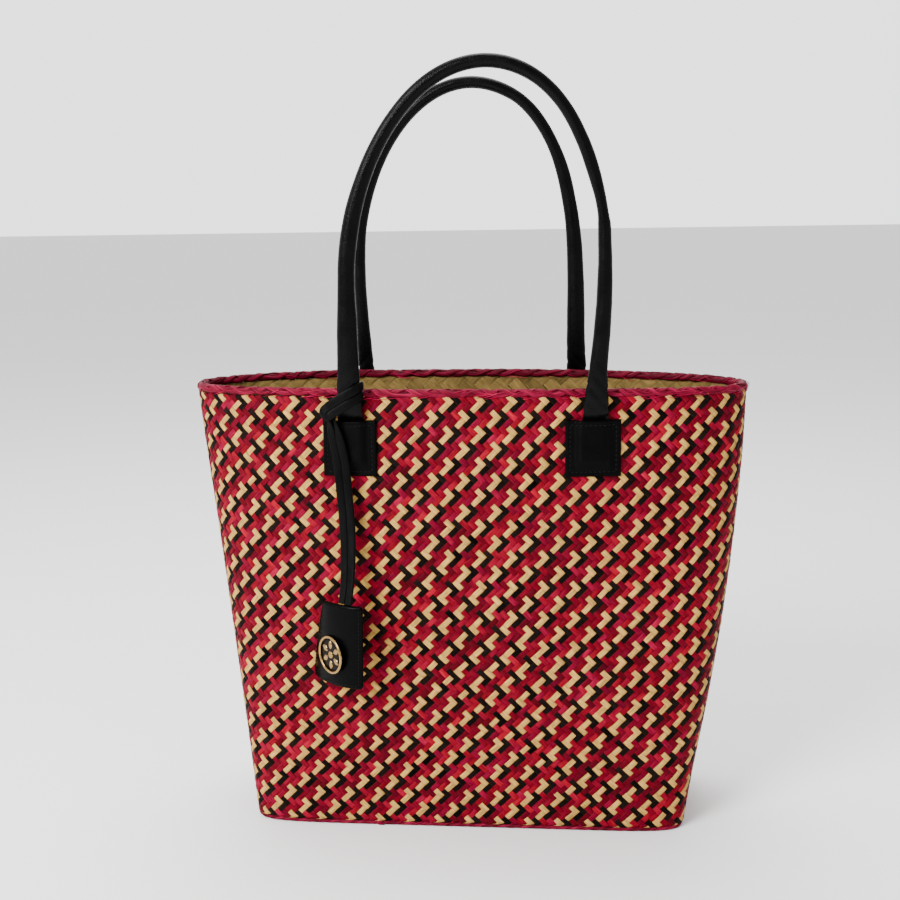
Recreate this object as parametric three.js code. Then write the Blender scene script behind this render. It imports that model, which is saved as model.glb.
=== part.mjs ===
// Woven straw basket bag with two leather handles and a leather tag on a lace.
// Millimetres, +Z up, the front faces -Y, the origin is the centre of the base on the floor.
import * as THREE from "three";

// Basket
const wallHeight = 315; // floor to the top edge of the woven wall
const mouthHalfWidth = 199;
const mouthHalfDepth = 61;
const baseHalfWidth = 159;
const baseHalfDepth = 58;
const weaveThickness = 1.6; // coloured outer layer
const liningThickness = 1.2; // plain inner layer
const rimEndDrop = 2; // the rim lies lower at its two pinched ends
const pointsPerQuarter = 13;
const outlineSamples = 160; // over which a quarter's outline is measured

// Each row is a level section of the wall. Height is a share of the wall height. Left, right and
// depth are shares of the way from the base's size to the mouth's. Power is the exponent of the
// section's outline: 2 is an ellipse, more is squarer, less is pinched at the two ends.
const wallSections = [
  { height: 0.0, left: 0.0, right: -0.04, depth: 0.0, power: 9.0 },
  { height: 0.12, left: 0.11, right: 0.12, depth: 0.55, power: 7.0 },
  { height: 0.3, left: 0.29, right: 0.4, depth: 1.3, power: 5.0 },
  { height: 0.5, left: 0.5, right: 0.66, depth: 1.8, power: 3.7 },
  { height: 0.7, left: 0.71, right: 0.85, depth: 1.9, power: 2.9 },
  { height: 0.87, left: 0.89, right: 0.96, depth: 1.4, power: 2.5 },
  { height: 1.0, left: 1.0, right: 1.0, depth: 1.0, power: 2.3 },
];

// Rim binding and base cord
const bindingWidth = 6.2;
const bindingHeight = 5.4;
const baseCordDiameter = 4;
const trimSides = 8;

// Handles
const handleRise = 222; // from the wall's top edge to the middle of the strap at the arch's top
const archRise = 132;
const handleTopDepth = 63.5; // from the middle of the bag to the top of each arch
const strapWidth = 10;
const strapThickness = 9.6;
const handleSides = 10;
const archSteps = 22;
const leanPower = 1.5; // how late on the way up a handle leans

// Each row gives the strap's section. Along is a share of the leg from its sewn end to the arch,
// and 2 is the top of the arch. Width and thickness are shares of the strap's own.
const strapSections = [
  { along: 0.0, width: 1.6, thickness: 0.25 },
  { along: 0.12, width: 1.59, thickness: 0.26 },
  { along: 0.225, width: 1.57, thickness: 0.28 },
  { along: 0.275, width: 1.54, thickness: 0.4 },
  { along: 0.33, width: 1.48, thickness: 0.56 },
  { along: 0.45, width: 1.28, thickness: 0.78 },
  { along: 0.6, width: 1.13, thickness: 0.93 },
  { along: 0.8, width: 1.04, thickness: 1.0 },
  { along: 1.0, width: 1.0, thickness: 1.0 },
  { along: 2.0, width: 0.84, thickness: 1.0 },
];

// Each handle: its side of the bag, the spacing of its legs where they are sewn on and where the
// arch springs, how far each of these is set to the right, and how far the top leans further.
const handles = [
  { name: "front", side: -1, feet: 167.4, legs: 173.2, feetShift: 5.7, legsShift: 7.4, lean: 10 },
  { name: "back", side: 1, feet: 162.5, legs: 166, feetShift: -3, legsShift: -6, lean: 5.2 },
];

// Patches over the sewn ends
const patchWidth = 38;
const patchHeight = 39;
const patchThickness = 1.8;
const patchDrop = 14; // from the wall's top edge down to the patch's upper edge
const strapEndInset = 11; // from the patch's lower edge up to the end of the strap

// Columns across a patch, as shares of its half width, with how far it is raised over the strap.
const patchColumns = [
  { across: -1.0, raised: 0.0 },
  { across: -0.62, raised: 0.0 },
  { across: -0.46, raised: 1.0 },
  { across: 0.0, raised: 1.0 },
  { across: 0.46, raised: 1.0 },
  { across: 0.62, raised: 0.0 },
  { across: 1.0, raised: 0.0 },
];
const patchRows = [
  { up: 0.0, raised: 0.0 },
  { up: 0.13, raised: 0.2 },
  { up: 0.26, raised: 1.0 },
  { up: 0.65, raised: 1.0 },
  { up: 1.0, raised: 1.0 },
];

// Tag
const tagTopWidth = 35;
const tagBottomWidth = 48.5;
const tagLean = 8; // its top edge lies this much further right along it than its bottom edge
const tagHeight = 60;
const tagThickness = 4;
const tagCurveRadius = 50; // it is bent about a vertical line
const tagFacing = -120.5; // degrees in plan that the middle of its outer face looks to
const tagCentre = new THREE.Vector3(-88, -83, wallHeight - 169);
const tagCornerRadius = 3;
const tagSteps = 6;
const emblemDiameter = 27.5;
const emblemThickness = 1.8;
const emblemRimWidth = 2.2;
const emblemHubDiameter = 7;
const emblemDrop = 7; // below the middle of the tag
const emblemShift = 4; // round the tag's face from its middle, to the left
const emblemPetals = 6;
const emblemSpokeWidth = 2;
const emblemArcSteps = 6;

// Lace: a flat leather lace that is doubled over the foot of the front handle's left leg
const laceWidth = 5;
const laceThickness = 2.2;
const laceSides = 8;
const laceSteps = 78;

// Its route, chosen by hand, from the tag round the strap and back. Across is measured from the
// middle of the strap's foot, out and rise from the wall's top edge behind it.
// Facing is the direction in plan, in degrees, that the lace's outer face looks to.
const laceRoute = [
  { across: -4.8, out: 25.0, rise: -138.6, facing: -122 },
  { across: -3.5, out: 22.0, rise: -125, facing: -118 },
  { across: -3.1, out: 18.4, rise: -108, facing: -106 },
  { across: -3.8, out: 14.9, rise: -87, facing: -96 },
  { across: -5.8, out: 11.8, rise: -63, facing: -90 },
  { across: -8.2, out: 9.7, rise: -40, facing: -92 },
  { across: -11.4, out: 8.8, rise: -22, facing: -108 },
  { across: -13.3, out: 7.2, rise: -11.4, facing: -168 },
  { across: -11.6, out: 4.7, rise: -4.5, facing: -225 },
  { across: -6.2, out: 3.15, rise: 0.7, facing: -270 },
  { across: 0.5, out: 3.15, rise: 4.9, facing: -270 },
  { across: 6.8, out: 3.7, rise: 8.7, facing: -285 },
  { across: 10.4, out: 7.0, rise: 10.5, facing: -360 },
  { across: 7.2, out: 12.2, rise: 8.9, facing: -435 },
  { across: 0.0, out: 13.6, rise: 4.9, facing: -450 },
  { across: -7.4, out: 12.6, rise: 0.3, facing: -460 },
  { across: -13.1, out: 11.2, rise: -3.5, facing: -470 },
  { across: -16.2, out: 10.9, rise: -6.9, facing: -472 },
  { across: -14.1, out: 11.3, rise: -10.1, facing: -470 },
  { across: -8.1, out: 12.1, rise: -7.1, facing: -460 },
  { across: -0.4, out: 12.8, rise: -2.3, facing: -450 },
  { across: 6.9, out: 11.4, rise: 1.9, facing: -435 },
  { across: 10.2, out: 7.0, rise: 3.7, facing: -360 },
  { across: 7.0, out: 3.6, rise: 2.1, facing: -285 },
  { across: 0.5, out: 3.1, rise: -2.1, facing: -270 },
  { across: -6.0, out: 2.95, rise: -5.2, facing: -260 },
  { across: -10.8, out: 5.2, rise: -9.1, facing: -196 },
  { across: -9.5, out: 8.3, rise: -14.6, facing: -140 },
  { across: -6.4, out: 9.6, rise: -23.5, facing: -104 },
  { across: -2.8, out: 10.1, rise: -39, facing: -92 },
  { across: -0.4, out: 12.0, rise: -63, facing: -90 },
  { across: 1.6, out: 15.8, rise: -87, facing: -96 },
  { across: 2.1, out: 20.2, rise: -108, facing: -106 },
  { across: 1.5, out: 24.3, rise: -125, facing: -118 },
  { across: 0.0, out: 27.5, rise: -138.6, facing: -122 },
];

// Fits
const touchGap = 0.3; // between pieces that touch
const laceRoom = 3.0; // behind a strap at the rim, where a lace passes
const strapLift = 7; // above a patch, over which the strap comes off the wall

const leather = { color: 0x121314, roughness: 0.42, metalness: 0 };
const finishes = {
  weave: { color: 0xa8152f, roughness: 0.7, metalness: 0 },
  lining: { color: 0xb9a070, roughness: 0.75, metalness: 0 },
  raffia: { color: 0xb0164f, roughness: 0.6, metalness: 0 },
  brass: { color: 0xc9a860, roughness: 0.28, metalness: 1 },
};

// Straight-line reading of a table's column at a place between its rows.
function readTable(table, key, at, column) {
  const last = table.length - 1;
  const next = table.findIndex((row) => row[key] >= at);
  const upper = next < 0 ? last : Math.max(next, 1);
  const [a, b] = [table[upper - 1], table[upper]];
  const share = THREE.MathUtils.clamp((at - a[key]) / (b[key] - a[key]), 0, 1);
  return THREE.MathUtils.lerp(a[column], b[column], share);
}

// The wall's outer section at a height: half widths to the left and right, half depth, power.
function sectionAt(z) {
  const at = z / wallHeight;
  const read = (column) => readTable(wallSections, "height", at, column);
  return {
    left: THREE.MathUtils.lerp(baseHalfWidth, mouthHalfWidth, read("left")),
    right: THREE.MathUtils.lerp(baseHalfWidth, mouthHalfWidth, read("right")),
    depth: THREE.MathUtils.lerp(baseHalfDepth, mouthHalfDepth, read("depth")),
    power: read("power"),
  };
}

// How far the wall's outer face lies from the middle plane at a place across the bag.
function wallDepth(x, z) {
  const section = sectionAt(z);
  const half = x < 0 ? section.left : section.right;
  const inside = 1 - Math.abs(x / half) ** section.power;
  return section.depth * inside ** (1 / section.power);
}

// The outline of a quarter of a section at an angle from the front or back to its end.
function outlinePoint(angle, half, depth, power) {
  return [half * Math.sin(angle) ** (2 / power), depth * Math.cos(angle) ** (2 / power)];
}

// Angles that cut a quarter of a section's outline into equal lengths.
function quarterAngles(half, depth, power) {
  const last = outlineSamples;
  const angles = Array.from({ length: last + 1 }, (_, i) => ((i / last) * Math.PI) / 2);
  const points = angles.map((angle) => outlinePoint(angle, half, depth, power));
  const lengths = [0];
  for (let i = 1; i <= last; i++) {
    const [a, b] = [points[i - 1], points[i]];
    lengths.push(lengths[i - 1] + Math.hypot(b[0] - a[0], b[1] - a[1]));
  }
  const picked = [];
  let k = 0;
  for (let i = 0; i <= pointsPerQuarter; i++) {
    const want = (i / pointsPerQuarter) * lengths[last];
    while (k < last - 1 && lengths[k + 1] < want) k++;
    const share = (want - lengths[k]) / (lengths[k + 1] - lengths[k]);
    picked.push(THREE.MathUtils.lerp(angles[k], angles[k + 1], share));
  }
  return picked;
}

// A closed ring of the wall at a height, set in from its outer face, from the front centre
// through the right end. Drop lowers it towards the two ends, and atZ puts it at another height.
function wallRing(z, inset, drop = 0, atZ = z) {
  const section = sectionAt(z);
  const quarter = (half) =>
    quarterAngles(half, section.depth, section.power).map((angle) =>
      outlinePoint(angle, half - inset, section.depth - inset, section.power),
    );
  const [right, left] = [quarter(section.right), quarter(section.left)];
  const whole = [
    ...right.slice(0, -1).map(([x, y]) => [x, -y]),
    ...right.slice(1).reverse().map(([x, y]) => [x, y]),
    ...left.slice(0, -1).map(([x, y]) => [-x, y]),
    ...left.slice(1).reverse().map(([x, y]) => [-x, -y]),
  ];
  return whole.map(([x, y]) => new THREE.Vector3(x, y, atZ - drop * (x / mouthHalfWidth) ** 2));
}

// A closed body from rings of points that run the same way round. The rings are joined in order.
// Ends says how it is closed: "joined" joins the last ring to the first, "fan" closes a round
// section at each end, and "ladder" a thin one, whose second half runs back beside its first.
// A span is cut along the same diagonal whether it runs up or down, so that two layers nest.
function loft(rings, ends) {
  const around = rings[0].length;
  const positions = rings.flat().flatMap((p) => [p.x, p.y, p.z]);
  const index = [];
  const spans = ends === "joined" ? rings.length : rings.length - 1;
  for (let r = 0; r < spans; r++) {
    const next = (r + 1) % rings.length;
    const down = rings[next][0].z < rings[r][0].z;
    for (let i = 0; i < around; i++) {
      const j = (i + 1) % around;
      const [a, b] = [r * around + i, r * around + j];
      const [c, d] = [next * around + i, next * around + j];
      index.push(...(down ? [a, b, c, b, d, c] : [a, b, d, a, d, c]));
    }
  }
  const addFan = (ring, start, flip) => {
    const centre = ring.reduce((sum, p) => sum.add(p), new THREE.Vector3());
    centre.divideScalar(around);
    const hub = positions.length / 3;
    positions.push(centre.x, centre.y, centre.z);
    for (let i = 0; i < around; i++) {
      const [a, b] = [start + i, start + ((i + 1) % around)];
      index.push(hub, flip ? b : a, flip ? a : b);
    }
  };
  const addLadder = (ring, start, flip) => {
    for (let i = 0; i < around / 2 - 1; i++) {
      const [a, b] = [start + i, start + i + 1];
      const [c, d] = [start + around - 1 - i, start + around - 2 - i];
      index.push(...(flip ? [a, d, b, a, c, d] : [a, b, d, a, d, c]));
    }
  };
  if (ends !== "joined") {
    const addEnd = ends === "fan" ? addFan : addLadder;
    addEnd(rings[0], 0, true);
    addEnd(rings[rings.length - 1], (rings.length - 1) * around, false);
  }
  const geometry = new THREE.BufferGeometry();
  geometry.setAttribute("position", new THREE.Float32BufferAttribute(positions, 3));
  geometry.setIndex(index);
  geometry.computeVertexNormals();
  return geometry;
}

// The foot of the wall steps in round its lower edge to seat the base cord.
const footStep = baseCordDiameter + touchGap;

// Rings of one face of the basket from the floor up.
function basketFace(inset) {
  const ledge = footStep + inset;
  const foot = (z) => wallRing(0, inset + footStep, 0, z);
  const rings = [foot(inset), foot(ledge), wallRing(0, inset, 0, ledge)];
  for (const row of wallSections.slice(1)) {
    const top = row === wallSections[wallSections.length - 1];
    rings.push(wallRing(row.height * wallHeight, inset, top ? rimEndDrop : 0));
  }
  return rings;
}

// A basket layer between two faces, closed at the base and open at the mouth.
function basketLayer(outer, thickness) {
  return loft([...basketFace(outer), ...basketFace(outer + thickness).reverse()], "fan");
}

// A trim that follows a ring of points, with an oval section that stays level.
function ringTrim(ring, width, height) {
  const sections = ring.map((point, i) => {
    const before = ring[(i + ring.length - 1) % ring.length];
    const after = ring[(i + 1) % ring.length];
    const along = after.clone().sub(before).setZ(0).normalize();
    const out = new THREE.Vector3(along.y, -along.x, 0);
    return Array.from({ length: trimSides }, (_, k) => {
      const angle = (-(k + 0.5) / trimSides) * 2 * Math.PI;
      return point
        .clone()
        .addScaledVector(out, (Math.cos(angle) * width) / 2)
        .setZ(point.z + (Math.sin(angle) * height) / 2);
    });
  });
  return loft(sections, "joined");
}

// The two layers of the wall together.
const layersThickness = weaveThickness + touchGap + liningThickness;

function rimBinding() {
  const z = wallHeight + touchGap + bindingHeight / 2;
  const middle = wallRing(wallHeight, layersThickness / 2, rimEndDrop, z);
  return ringTrim(middle, bindingWidth, bindingHeight);
}

function baseCord() {
  const inset = baseCordDiameter / 2;
  return ringTrim(wallRing(0, inset, 0, inset), baseCordDiameter, baseCordDiameter);
}

// How far the binding stands proud of the wall's outer face.
const bindingOverhang = (bindingWidth - layersThickness) / 2;
const patchTop = wallHeight - patchDrop;
const strapEnd = patchTop - patchHeight + strapEndInset;
const handleTop = wallHeight + handleRise;
const archFoot = handleTop - archRise;

// The strap's section at a place along it, from 0 at a sewn end to 2 at the top.
function strapSection(along) {
  const read = (column) => readTable(strapSections, "along", along, column);
  return {
    width: strapWidth * read("width"),
    thickness: strapThickness * read("thickness"),
  };
}

// A point of a handle's centre line: end is -1 for the left leg and 1 for the right.
function strapPoint(handle, end, along) {
  const onArch = Math.max(along - 1, 0) * (Math.PI / 2);
  const legShare = Math.min(along, 1);
  const z = along < 1
    ? THREE.MathUtils.lerp(strapEnd, archFoot, legShare)
    : archFoot + archRise * Math.sin(onArch);
  const spread = THREE.MathUtils.lerp(handle.feet, handle.legs, legShare) / 2;
  const shift = THREE.MathUtils.lerp(handle.feetShift, handle.legsShift, legShare);
  const rise = THREE.MathUtils.clamp((z - wallHeight) / (handleTop - wallHeight), 0, 1);
  const x = shift + handle.lean * rise ** leanPower + end * spread * Math.cos(onArch);
  const overRim = THREE.MathUtils.smoothstep(z, patchTop, patchTop + strapLift);
  const standOff = touchGap + overRim * (bindingOverhang + laceRoom);
  const seat = wallDepth(x, Math.min(z, wallHeight)) + standOff;
  const atFoot = seat + strapSection(along).thickness / 2;
  const footX = handle.feetShift + (end * handle.feet) / 2;
  const rimSection = strapSection((wallHeight - strapEnd) / (archFoot - strapEnd));
  const atRim =
    wallDepth(footX, wallHeight) +
    touchGap +
    bindingOverhang +
    laceRoom +
    rimSection.thickness / 2;
  const depth = z < wallHeight ? atFoot : THREE.MathUtils.lerp(atRim, handleTopDepth, rise);
  return new THREE.Vector3(x, handle.side * depth, z);
}

// The way a strap's flat side faces: square to the wall where it is sewn on, and straight
// forward from a while above the rim.
function strapFacing(handle, point) {
  const z = Math.min(point.z, wallHeight);
  const reach = strapWidth / 10;
  const change = wallDepth(point.x + reach, z) - wallDepth(point.x - reach, z);
  const slope = change / (2 * reach);
  const free = THREE.MathUtils.smoothstep(point.z, wallHeight, archFoot);
  return new THREE.Vector3(handle.side * slope * (1 - free), -1, 0).normalize();
}

function handleStrap(handle) {
  const stops = strapSections.slice(0, -1).map((row) => row.along);
  for (let i = 1; i <= archSteps / 2; i++) stops.push(1 + (2 * i) / archSteps);
  const line = [
    ...stops.map((along) => ({ along, point: strapPoint(handle, -1, along) })),
    ...stops.slice(0, -1).reverse().map((along) => ({ along, point: strapPoint(handle, 1, along) })),
  ];
  const rings = line.map(({ along, point }, i) => {
    const before = line[Math.max(i - 1, 0)].point;
    const after = line[Math.min(i + 1, line.length - 1)].point;
    const tangent = after.clone().sub(before).normalize();
    const across = strapFacing(handle, point).cross(tangent).normalize();
    const out = tangent.clone().cross(across);
    const { width, thickness } = strapSection(along);
    return Array.from({ length: handleSides }, (_, k) => {
      const angle = ((k + 0.5) / handleSides) * 2 * Math.PI;
      return point
        .clone()
        .addScaledVector(across, (Math.cos(angle) * width) / 2)
        .addScaledVector(out, (Math.sin(angle) * thickness) / 2);
    });
  });
  return loft(rings, "fan");
}

// A leather square shaped over a strap's sewn end, lying on the wall round it.
function patch(handle, end) {
  const middle = handle.feetShift + (end * handle.feet) / 2;
  const atTop = (patchTop - strapEnd) / (archFoot - strapEnd);
  const strapRaise = strapSection(atTop).thickness + 2 * touchGap;
  const rowPoints = ({ up, raised: rowRaised }, extra) =>
    patchColumns.map(({ across, raised }) => {
      const x = middle + (across * patchWidth) / 2;
      const z = patchTop - patchHeight * (1 - up);
      const off = touchGap + strapRaise * raised * rowRaised + extra;
      return new THREE.Vector3(x, handle.side * (wallDepth(x, z) + off), z);
    });
  const rings = patchRows.map((row) => [
    ...rowPoints(row, 0),
    ...rowPoints(row, patchThickness).reverse(),
  ]);
  const outward = handle.side < 0 ? rings.map((ring) => ring.reverse()) : rings;
  return loft(outward, "ladder");
}

// The point in plan about which the tag is bent.
function tagBendCentre() {
  const facing = THREE.MathUtils.degToRad(tagFacing);
  return new THREE.Vector3(Math.cos(facing), Math.sin(facing), 0)
    .multiplyScalar(-tagCurveRadius)
    .add(tagCentre);
}

// The tag's level section at a height above its middle, inset from its outline.
function tagRing(up, inset) {
  const share = 0.5 - up / tagHeight;
  const half = THREE.MathUtils.lerp(tagTopWidth, tagBottomWidth, share) / 2 - inset;
  const facing = THREE.MathUtils.degToRad(tagFacing);
  const bendCentre = tagBendCentre();
  const arc = (radius) =>
    Array.from({ length: tagSteps + 1 }, (_, i) => {
      const place = ((i / tagSteps) * 2 - 1) * half + (tagLean * up) / tagHeight;
      const turn = facing + place / tagCurveRadius;
      return new THREE.Vector3(
        bendCentre.x + radius * Math.cos(turn),
        bendCentre.y + radius * Math.sin(turn),
        tagCentre.z + up,
      );
    });
  return [...arc(tagCurveRadius), ...arc(tagCurveRadius - tagThickness).reverse()];
}

function tagPouch() {
  const top = tagHeight / 2;
  const corner = tagCornerRadius;
  const eased = corner * (1 - Math.SQRT1_2);
  const rings = [
    tagRing(-top, corner),
    tagRing(-top + eased, eased),
    tagRing(-top + corner, 0),
    tagRing(0, 0),
    tagRing(top - corner, 0),
    tagRing(top - eased, eased),
    tagRing(top, corner),
  ];
  return loft(rings, "ladder");
}

// A pierced ring with a hub and plain petal openings, flat, facing +Z.
function emblemShape() {
  const shape = new THREE.Shape();
  shape.absarc(0, 0, emblemDiameter / 2, 0, 2 * Math.PI);
  const outer = emblemDiameter / 2 - emblemRimWidth;
  const inner = emblemHubDiameter / 2;
  for (let i = 0; i < emblemPetals; i++) {
    const middle = (i / emblemPetals) * 2 * Math.PI;
    const spread = (radius) => Math.PI / emblemPetals - emblemSpokeWidth / 2 / radius;
    const hole = new THREE.Path();
    const corner = [inner, outer].map((radius) => [radius, spread(radius)]);
    hole.absarc(0, 0, corner[1][0], middle - corner[1][1], middle + corner[1][1]);
    hole.absarc(0, 0, corner[0][0], middle + corner[0][1], middle - corner[0][1], true);
    hole.closePath();
    shape.holes.push(hole);
  }
  return shape;
}

// The lace as a flat section carried along its route.
function lace() {
  const [front] = handles;
  const footX = front.feetShift - front.feet / 2;
  const footY = -wallDepth(footX, wallHeight);
  const places = new THREE.CatmullRomCurve3(
    laceRoute.map(
      ({ across, out, rise }) =>
        new THREE.Vector3(footX + across, footY - out, wallHeight + rise),
    ),
  );
  const facings = new THREE.CatmullRomCurve3(
    laceRoute.map(({ facing }) => new THREE.Vector3(facing, 0, 0)),
  );
  const rings = [];
  for (let i = 0; i <= laceSteps; i++) {
    const share = places.getUtoTmapping(i / laceSteps);
    const point = places.getPoint(share);
    const tangent = places.getTangent(share);
    const facing = THREE.MathUtils.degToRad(facings.getPoint(share).x);
    const look = new THREE.Vector3(Math.cos(facing), Math.sin(facing), 0);
    const across = look.clone().cross(tangent).normalize();
    const out = tangent.clone().cross(across);
    rings.push(
      Array.from({ length: laceSides }, (_, k) => {
        const angle = ((k + 0.5) / laceSides) * 2 * Math.PI;
        return point
          .clone()
          .addScaledVector(across, (Math.cos(angle) * laceWidth) / 2)
          .addScaledVector(out, (Math.sin(angle) * laceThickness) / 2);
      }),
    );
  }
  return loft(rings, "fan");
}

function addPiece(parent, name, geometry, finish) {
  const mesh = new THREE.Mesh(geometry, new THREE.MeshStandardMaterial(finish));
  mesh.name = name;
  parent.add(mesh);
  return mesh;
}

const root = new THREE.Group();
const basket = new THREE.Group();
root.add(basket);
const liningInset = weaveThickness + touchGap;
addPiece(basket, "basket_outer", basketLayer(0, weaveThickness), finishes.weave);
addPiece(basket, "basket_lining", basketLayer(liningInset, liningThickness), finishes.lining);
addPiece(basket, "rim_binding", rimBinding(), finishes.raffia);
addPiece(basket, "base_cord", baseCord(), finishes.raffia);

for (const handle of handles) {
  addPiece(root, `handle_${handle.name}`, handleStrap(handle), leather);
  for (const [end, side] of [[-1, "left"], [1, "right"]])
    addPiece(root, `patch_${handle.name}_${side}`, patch(handle, end), leather);
}

addPiece(root, "tag_lace", lace(), leather);
addPiece(root, "tag_pouch", tagPouch(), leather);

const emblemSeat = new THREE.Group();
const emblemLook = THREE.MathUtils.degToRad(tagFacing) - emblemShift / tagCurveRadius;
emblemSeat.position
  .set(Math.cos(emblemLook), Math.sin(emblemLook), 0)
  .multiplyScalar(tagCurveRadius + touchGap)
  .add(tagBendCentre())
  .setZ(tagCentre.z - emblemDrop);
emblemSeat.rotation.z = emblemLook + Math.PI / 2;
root.add(emblemSeat);
const emblem = addPiece(
  emblemSeat,
  "tag_emblem",
  new THREE.ExtrudeGeometry(emblemShape(), {
    depth: emblemThickness,
    bevelEnabled: false,
    curveSegments: emblemArcSteps,
  }),
  finishes.brass,
);
emblem.rotation.x = Math.PI / 2;

export default root;
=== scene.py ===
import bpy
import numpy as np
from mathutils import Matrix


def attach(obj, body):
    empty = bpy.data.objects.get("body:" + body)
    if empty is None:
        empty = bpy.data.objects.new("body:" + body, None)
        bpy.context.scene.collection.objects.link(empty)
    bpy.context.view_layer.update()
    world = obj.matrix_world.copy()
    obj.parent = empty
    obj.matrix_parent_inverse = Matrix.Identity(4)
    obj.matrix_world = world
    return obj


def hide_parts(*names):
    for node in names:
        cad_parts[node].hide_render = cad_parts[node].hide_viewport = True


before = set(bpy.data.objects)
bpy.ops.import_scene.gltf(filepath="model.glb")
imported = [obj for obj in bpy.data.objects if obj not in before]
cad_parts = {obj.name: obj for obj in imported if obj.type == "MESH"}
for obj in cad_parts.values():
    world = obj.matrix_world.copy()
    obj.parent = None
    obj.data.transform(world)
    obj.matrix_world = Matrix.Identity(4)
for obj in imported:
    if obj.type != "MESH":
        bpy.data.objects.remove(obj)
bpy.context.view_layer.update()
rng = np.random.default_rng(11)
mm = 0.001
print("frame loaded")


def placement(axes, at):
    # the matrix with these three axes, standing at a place in metres
    matrix = Matrix.Identity(4)
    for row in range(3):
        for column, axis in enumerate(axes):
            matrix[row][column] = axis[row]
        matrix[row][3] = at[row]
    return matrix


# Camera at the photo's angle: 50 mm lens, a little above the rim, turned slightly to the left
cameraSetup = {"at": (68.3, -902.0, 435.0), "down": 10.37, "turn": -5.21, "roll": -0.83, "lens": 50.0}


def makeCamera():
    down, turn, roll = np.radians([cameraSetup["down"], cameraSetup["turn"], cameraSetup["roll"]])
    ahead = np.array([np.sin(turn) * np.cos(down), np.cos(turn) * np.cos(down), -np.sin(down)])
    levelRight = np.array([np.cos(turn), -np.sin(turn), 0.0])
    levelUp = np.cross(levelRight, ahead)
    right = np.cos(roll) * levelRight + np.sin(roll) * levelUp
    up = np.cos(roll) * levelUp - np.sin(roll) * levelRight
    data = bpy.data.cameras.new("camera")
    data.lens = cameraSetup["lens"]
    data.sensor_width = 36.0
    camera = bpy.data.objects.new("camera", data)
    camera.matrix_world = placement((right, up, -ahead), np.array(cameraSetup["at"]) * mm)
    bpy.context.scene.collection.objects.link(camera)
    bpy.context.scene.camera = camera


makeCamera()
print("camera placed")

# Meshes from arrays


def unit(vectors):
    return vectors / np.maximum(np.linalg.norm(vectors, axis=-1, keepdims=True), 1e-12)


def smoothRead(at, places, values):
    # a cubic through the table's rows, with the slope at a row taken from its neighbours
    places, values = np.asarray(places, float), np.asarray(values, float)
    slopes = np.gradient(values, places)
    k = np.clip(np.searchsorted(places, at, side="right") - 1, 0, len(places) - 2)
    span = places[k + 1] - places[k]
    t = np.clip((at - places[k]) / span, 0.0, 1.0)
    return (
        (1 + 2 * t) * (1 - t) ** 2 * values[k]
        + t * (1 - t) ** 2 * span * slopes[k]
        + t * t * (3 - 2 * t) * values[k + 1]
        + t * t * (t - 1) * span * slopes[k + 1]
    )


def ease(value, low, high):
    # smooth step: 3t^2 - 2t^3 of the way from low to high
    t = np.clip((value - low) / (high - low), 0.0, 1.0)
    return t * t * (3 - 2 * t)


def gridFaces(rows, columns, wrapRows=False, wrapColumns=False):
    # quads of a grid of points, numbered row by row
    r = np.arange(rows if wrapRows else rows - 1)[:, None]
    c = np.arange(columns if wrapColumns else columns - 1)[None, :]
    r2, c2 = (r + 1) % rows, (c + 1) % columns
    quads = np.stack([r * columns + c, r * columns + c2, r2 * columns + c2, r2 * columns + c], -1)
    return quads.reshape(-1, 4)


def addMesh(name, points, faces, look=None, uv=None, values=None, smooth=True):
    # points in mm; faces is an array of quads or a list of arrays; uv and values are one row a point
    faceArrays = faces if isinstance(faces, list) else [faces]
    mesh = bpy.data.meshes.new(name)
    sizes = np.concatenate([np.full(len(f), f.shape[1]) for f in faceArrays])
    corners = np.concatenate([f.ravel() for f in faceArrays]).astype(np.int32)
    mesh.vertices.add(len(points))
    mesh.vertices.foreach_set("co", (points * mm).astype(np.float32).ravel())
    mesh.loops.add(len(corners))
    mesh.loops.foreach_set("vertex_index", corners)
    mesh.polygons.add(len(sizes))
    starts = np.concatenate([[0], np.cumsum(sizes)[:-1]]).astype(np.int32)
    mesh.polygons.foreach_set("loop_start", starts)
    mesh.polygons.foreach_set("use_smooth", np.full(len(sizes), smooth))
    mesh.update(calc_edges=True)
    if uv is not None:
        layer = mesh.uv_layers.new(name="run")
        layer.data.foreach_set("uv", uv[corners].astype(np.float32).ravel())
    for label, value in (values or {}).items():
        kind, field = ("FLOAT_COLOR", "color") if value.ndim == 2 else ("FLOAT", "value")
        attribute = mesh.attributes.new(label, kind, "POINT")
        attribute.data.foreach_set(field, value.astype(np.float32).ravel())
    piece = bpy.data.objects.new(name, mesh)
    bpy.context.scene.collection.objects.link(piece)
    if look is not None:
        mesh.materials.append(look)
    return piece


def keep(piece, slotName, *nodes):
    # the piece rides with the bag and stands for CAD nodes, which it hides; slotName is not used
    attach(piece, "root")
    if nodes:
        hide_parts(*nodes)


def bent(value, power):
    # the value's size to a power, with its sign kept
    return np.sign(value) * np.abs(value) ** power


def ringAngles(sides):
    return (np.arange(sides) + 0.5) / sides * 2 * np.pi


def runLength(path, closed=False):
    # mm along a path to each of its points
    before = path[-1:] if closed else path[:1]
    return np.cumsum(np.linalg.norm(np.diff(path, axis=0, prepend=before), axis=1))


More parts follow.
